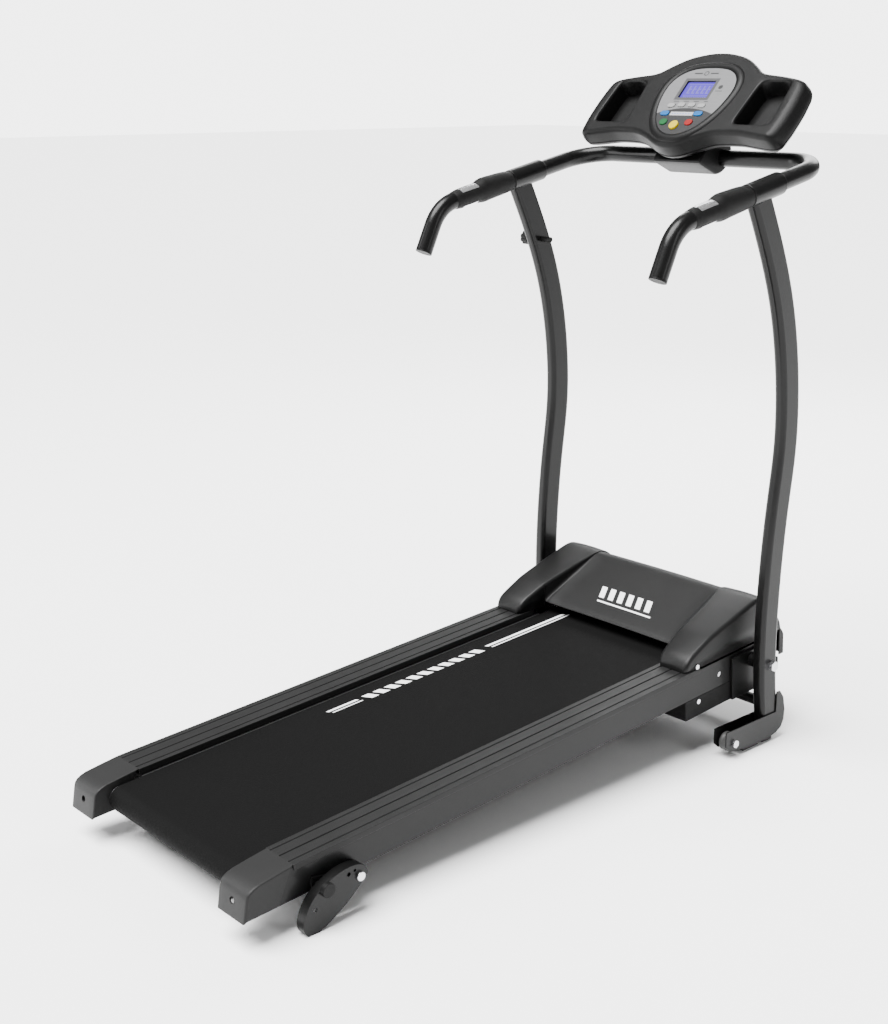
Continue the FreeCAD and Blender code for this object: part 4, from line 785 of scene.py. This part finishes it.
# The printed motif: a row of slanted bars over a line.
leaning = across + along * 0.45
bars_print = inside(shell.repeated((leaning + 0.1) / 0.0225), 0.2, 0.76, 0.02)
motif = inside(along, -0.072, -0.048) * inside(leaning, -0.0955, 0.0355) * bars_print
motif = motif + inside(along, -0.0815, -0.0785) * inside(leaning, -0.0955, 0.036)
motif = motif * shell.step(up, 0.03, 0.001)
hood_paint = shell.give(
    Base_Color=shell.mix(motif, shell.mix(tones, grey(0.0022), grey(0.0040)), grey(0.8)),
    Roughness=0.36 + 0.12 * tones, Specular_IOR_Level=0.16, Normal=shell.bump(pits, 0.0004, 0.4))
hood = build("hood_shell", hood_points, hood_faces, "deck", hood_paint)
outward(hood)
wall_out(hood, hood_wall)
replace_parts(hood, "motor_hood")
eased("motor_tray", 2.0, moulded("tray_plastic", 0.0029, 0.0047, 0.5))


# ------------------------------------------------------------ Drive and power
# Under the hood: the motor, the belt drive and the controller board, and in
# front the power inlet with its rocker switch.

eased("drive_motor", 0.8, powder_coat("motor_enamel", 0.36))
cover(nodes["drive_belt"], moulded("drive_rubber", 0.0036, 0.0072, 0.6, 700.0))
eased("power_inlet", 0.5, moulded("inlet_plastic", 0.0036, 0.0058, 0.4))
eased("power_switch", 0.5, moulded("switch_plastic", 0.0043, 0.0072, 0.25))

fibre = Paint("circuit_board")
tracks = fibre.cells(160.0, feature="DISTANCE_TO_EDGE")
board_tone = fibre.mix(fibre.step(tracks, 0.06, 0.02), (0.05, 0.16, 0.07), (0.012, 0.07, 0.03))
board_paint = fibre.give(Base_Color=board_tone, Roughness=0.4 + 0.1 * fibre.noise(50.0))
for name in ("motor_controller", "console_circuit_board"):
    cover(nodes[name], board_paint)


# ---------------------------------------------------- Rear feet, knobs, screws
# Leaf-shaped steel feet set the slope. A fluted knob clamps each, and another
# locks the folded deck. The screws are zinc-plated.

leaf_coat = powder_coat("leaf_powder_coat", 0.30)
knob_plastic = moulded("knob_plastic", 0.0029, 0.0050, 0.42)
for name in nodes:
    if "incline_foot" in name or name == "incline_brackets":
        eased(name, 0.9, leaf_coat)
    elif "clamp_knob" in name or name == "lock_bolt":
        eased(name, 0.9, knob_plastic)
    elif name == "case_screws":
        eased(name, 0.5, zinc)


# ------------------------------------------------------------------ Console
# A front shell with two open trays and a raised oval in the middle closes on a
# back shell. A neck under it clamps round the crossbar.

low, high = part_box("lcd_screen")
press = next(joint["axis"] for joint in frame["joints"] if joint["name"] == "start_press")
tilt = math.atan2(press[1], -press[2])
desk = Bench((low + high) / 2, (0, 111, -4.2), tilt)


def ring_round(points, reach, rounds=3):
    """A closed outline with its corners rounded."""
    for _ in range(rounds):
        softer = []
        for (x1, y1), (x2, y2) in zip(points, points[1:] + points[:1]):
            share = min(0.25, reach / max(math.hypot(x2 - x1, y2 - y1), 0.001))
            softer += [(x1 + share * (x2 - x1), y1 + share * (y2 - y1)),
                       (x2 - share * (x2 - x1), y2 - share * (y2 - y1))]
        points = softer
    return points


half = [(0, -18), (27, -13), (52, 1), (85, 14), (141, 15), (213, 3), (218, 45), (218, 90), (213, 137),
        (166, 147), (118, 153), (96, 171), (65, 191), (27, 201), (0, 203)]
console_outline = ring_round(half + [(-x, y) for x, y in reversed(half[1:-1])], 9.0)


def flared(outline, amount):
    """The outline with its two flanks swollen outwards."""
    return [(x + math.copysign(amount * max(0.0, (abs(x) - 165) / 55) ** 1.5, x), y) for x, y in outline]


def console_ring(inward, flank, depth):
    return [(x, y, depth) for x, y in inset(flared(console_outline, flank), -inward)]


turning = 1 if inset([(0, 0), (1, 0), (1, 1), (0, 1)], 0.1)[0][0] > 0 else -1
rim = [(9 * (1 - math.sin(math.radians(angle))), -9 * (1 - math.cos(math.radians(angle)))) for angle in
       (0, 18, 36, 54, 72, 90)]
front_rows = [console_ring(-inward * turning, 0.9 * -depth, depth) for inward, depth in rim]
front_rows += [console_ring(0, 12, -21), console_ring(0, 11, -29), console_ring(-1.5 * turning, 10, -30.4)]
front_points, front_faces = [], []
grid(front_rows, desk.at, front_points, front_faces, closed=True)


def tray_outline(side, grow):
    corners = [(120 - grow, 35 - grow), (198 + grow, 35 - grow), (192 + grow, 132 + grow),
               (129 - grow, 132 + grow)]
    return [(side * x, y) for x, y in ring_round(corners, 7.0)]


# How much a tray's outline grows at each depth, from its rolled rim to its floor.
tray_wall = [(4.0, 0.0), (2.0, -0.5), (0.6, -2.0), (0.0, -4.0), (-0.6, -14.0), (-1.5, -26.0), (-3.0, -34.0),
             (-7.0, -37.5)]
for side in (1, -1):
    rows = []
    for grow, depth in tray_wall:
        ring = []
        for x, y in tray_outline(side, grow):
            swell = 6.5 * abs(math.sin(math.pi * (abs(x) - 128) / 21)) * min(1.0, max(0.0, -depth - 2) / 8)
            ring.append((x, y - (swell if y > 120 and 128 < abs(x) < 192 else 0.0), depth))
        rows.append(ring)
    grid(rows, desk.at, front_points, front_faces, closed=True)
    start = len(front_points)
    front_points += [desk.at(*spot) for spot in rows[-1]]
    front_faces.append(tuple(range(start, start + len(rows[-1]))))

window = ring_round([(-32.5, 91), (32.5, 91), (32.5, 131), (-32.5, 131)], 2.0)
window_rows = [[(x, y, depth) for x, y in window] for depth in (0.0, -6.0)]
grid(window_rows, desk.at, front_points, front_faces, closed=True)

console_paint = moulded("console_plastic", 0.0022, 0.0036, 0.34, 1000.0)
front = build("console_face", front_points, front_faces, "base", console_paint)
made = bmesh.new()
made.from_mesh(front.data)
facing = desk.turn @ Vector((0, 0, 1))
level = [edge for edge in made.edges if edge.is_boundary and
         all(abs((corner.co - desk.origin).dot(facing)) < 1e-5 for corner in edge.verts)]
bmesh.ops.triangle_fill(made, edges=level, use_beauty=True, normal=facing)
bmesh.ops.recalc_face_normals(made, faces=made.faces)
made.to_mesh(front.data)
made.free()
outward(front)
evened(front)
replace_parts(front, "console_front_shell")

back_points, back_faces = [], []
# How far each ring of the back is drawn in, how much its flanks swell, and its depth.
back_stations = [(2.0, 10, -31.2), (0.6, 10, -32.4), (1.5, 8, -37), (6, 4, -42), (11, 1, -46.5),
                 (15, 0, -49), (19, 0, -50)]
back_rows = [console_ring(-inward * turning, flank, depth) for inward, flank, depth in back_stations]
grid(back_rows, desk.at, back_points, back_faces, closed=True)
count = len(back_rows[-1])
back_faces.append(tuple(range(len(back_points) - count, len(back_points))))
back_faces.append(tuple(range(count)))
back = build("console_back", back_points, back_faces, "base", console_paint)
evened(back)

bar_y, bar_z = 36.0, -91.0
neck_section = [(-52, 46), (-37, 6), (-31, -10), (-12, -20), (18, -19), (29, -8), (33, 12), (32, 46)]
neck_line = ring_round([(bar_y + y, bar_z + z) for y, z in neck_section], 6.0, 2)
neck_stations = [(-54, 4.0), (-53.5, 2.2), (-52.4, 0.8), (-50, 0), (-25, 0), (0, 0), (25, 0), (50, 0),
                 (52.4, 0.8), (53.5, 2.2), (54, 4.0)]
neck_points, neck_faces = [], []
neck_rows = [[(x, y, z) for y, z in inset(neck_line, by * turning)] for x, by in neck_stations]
grid(neck_rows, desk.at, neck_points, neck_faces, closed=True)
count = len(neck_line)
neck_faces += [tuple(range(count)), tuple(range(len(neck_points) - count, len(neck_points)))]
neck = build("console_neck", neck_points, neck_faces, "base", console_paint)
evened(neck)
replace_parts(back, "console_back_shell")
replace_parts(neck, "console_clamp")

# The raised oval round the display panel.
panel_half = [(0.0, 0.0), (0.5, 0.09), (0.84, 0.33), (0.99, 0.62), (0.93, 0.83), (0.6, 0.97), (0.0, 1.0)]
right_half = [(5 + 75.5 * x, 4 + 156 * y) for x, y in panel_half]
left_half = [(5 - 75.5 * x, 4 + 156 * y) for x, y in reversed(panel_half[1:-1])]
panel_line = ring_round(right_half + left_half, 12.0, 3)
oval_points, oval_faces = [], []
grid([[(x, y, depth) for x, y in inset(panel_line, -grow * turning)] for grow, depth in
      ((17.0, -0.6), (15.5, 1.2), (12.5, 3.0), (8.5, 3.8), (5.0, 3.4), (2.4, 2.2), (1.0, 0.9), (0.6, -0.4))],
     desk.at, oval_points, oval_faces, closed=True)
oval = build("console_oval", oval_points, oval_faces, "base", console_paint)
evened(oval)

sheet = Paint("panel_print", softness=0.0003)
across, along, up = sheet.split(sheet.turned(desk.origin, tilt))
brushed = sheet.stretched((60.0, 900.0, 900.0), 1.0)
field = sheet.between


def disc(x, y, radius, soft=0.0004):
    """1 within a round spot on the panel."""
    off = (across - x / 1000) * (across - x / 1000) + (along - y / 1000) * (along - y / 1000)
    return 1 - sheet.step(off, (radius / 1000) ** 2, soft * radius / 1000)


lower = 1 - sheet.step(along + (across - 0.005) * (across - 0.005) * 3.2, 0.0665, 0.0006)
frame_lines = field(across, -0.0385, 0.0385) * field(along, 0.0855, 0.1365)
emblem = (disc(0, 148, 5.2) - disc(0, 148, 3.4)) + field(along, 0.1465, 0.1495) * (
    field(across, -0.027, -0.009) + field(across, 0.009, 0.027))
pulse = disc(50, 116, 4.6) + field(along, 0.106, 0.1075) * field(across, 0.043, 0.058)
labels = field(along, 0.0815, 0.083) * field(across, -0.042, 0.042)
labels = labels * sheet.step(sheet.repeated((across + 0.0455) / 0.0227), 0.45, 0.02)
strip_light = field(along, 0.0495, 0.0575) * field(across, -0.0255, 0.0255)
ticks = field(along, 0.0525, 0.0545) * field(across, -0.022, 0.022)
ticks = ticks * sheet.step(sheet.repeated((across + 0.05) / 0.0062), 0.4, 0.05)
silver = sheet.mix(brushed, (0.080, 0.080, 0.082), (0.125, 0.125, 0.128))
tone = sheet.mix(lower, silver, (0.004, 0.004, 0.0045))
tone = sheet.mix(frame_lines * 0.8, tone, (0.012, 0.012, 0.014))
tone = sheet.mix(emblem + pulse + labels, tone, (0.006, 0.006, 0.007))
tone = sheet.mix(strip_light, tone, (0.28, 0.28, 0.29))
tone = sheet.mix(ticks, tone, (0.10, 0.13, 0.30))
cover(nodes["display_panel"], sheet.give(Base_Color=tone, Roughness=0.34 + 0.14 * brushed,
                                         Specular_IOR_Level=0.3))

# What the screen shows: a row of block digits between two lines, with small marks below.
glow = Paint("lcd_glow", softness=0.0002)
across, along, up = glow.split(glow.turned(desk.origin, tilt))
lit = glow.between
digit_pitch = 0.0105
digits = lit(along, 0.104, 0.1225) * lit(across, -0.026, 0.026)
digits = digits * glow.step(glow.repeated((across + 0.026) / digit_pitch), 0.28, 0.03)
hollow = glow.step(glow.repeated((along - 0.104) / 0.00925), 0.25, 0.04)
hollow = hollow * glow.step(glow.repeated((across + 0.0234) / digit_pitch), 0.34, 0.03)
digits = digits * (1 - hollow * 0.85)
rule = lit(along, 0.0995, 0.1005) * lit(across, -0.028, 0.028)
small = lit(along, 0.0935, 0.0970) * lit(across, -0.026, 0.026)
small = small * glow.step(glow.repeated((across + 0.026) / 0.0043), 0.4, 0.04)
picture = digits + rule + small + lit(along, 0.1255, 0.1265) * lit(across, -0.028, 0.028)
flicker = glow.noise(40.0, 2.0)
cover(nodes["lcd_screen"], glow.give(
    Base_Color=glow.mix(picture, (0.02, 0.015, 0.10), (0.01, 0.01, 0.05)), Roughness=0.16 + 0.06 * flicker,
    Emission_Color=glow.mix(picture, (0.16, 0.09, 0.90), (0.42, 0.36, 0.95)), Emission_Strength=0.9,
    Specular_IOR_Level=0.25))


def key_paint(name, deep, light):
    """Soft key plastic: an even dye, with finger-worn patches."""
    paint = Paint(name)
    worn = paint.noise(240.0, 3.0)
    return paint.give(Base_Color=paint.mix(worn, deep, light), Roughness=0.38 + 0.2 * worn,
                      Specular_IOR_Level=0.12)


pale_key = key_paint("pale_key", grey(0.15), grey(0.21))
blue_key = key_paint("blue_key", (0.004, 0.065, 0.20), (0.008, 0.09, 0.25))
for name in nodes:
    if name.startswith("speed_preset_button"):
        eased(name, 0.7, pale_key)
for name, paint in (("slower_button", blue_key), ("faster_button", blue_key),
                    ("start_button", key_paint("green_key", (0.0, 0.055, 0.012), (0.002, 0.075, 0.02))),
                    ("stop_button", key_paint("red_key", (0.15, 0.003, 0.003), (0.19, 0.006, 0.006))),
                    ("safety_key", key_paint("yellow_key", (0.36, 0.27, 0.0), (0.42, 0.32, 0.002)))):
    eased(name, 0.7, paint)
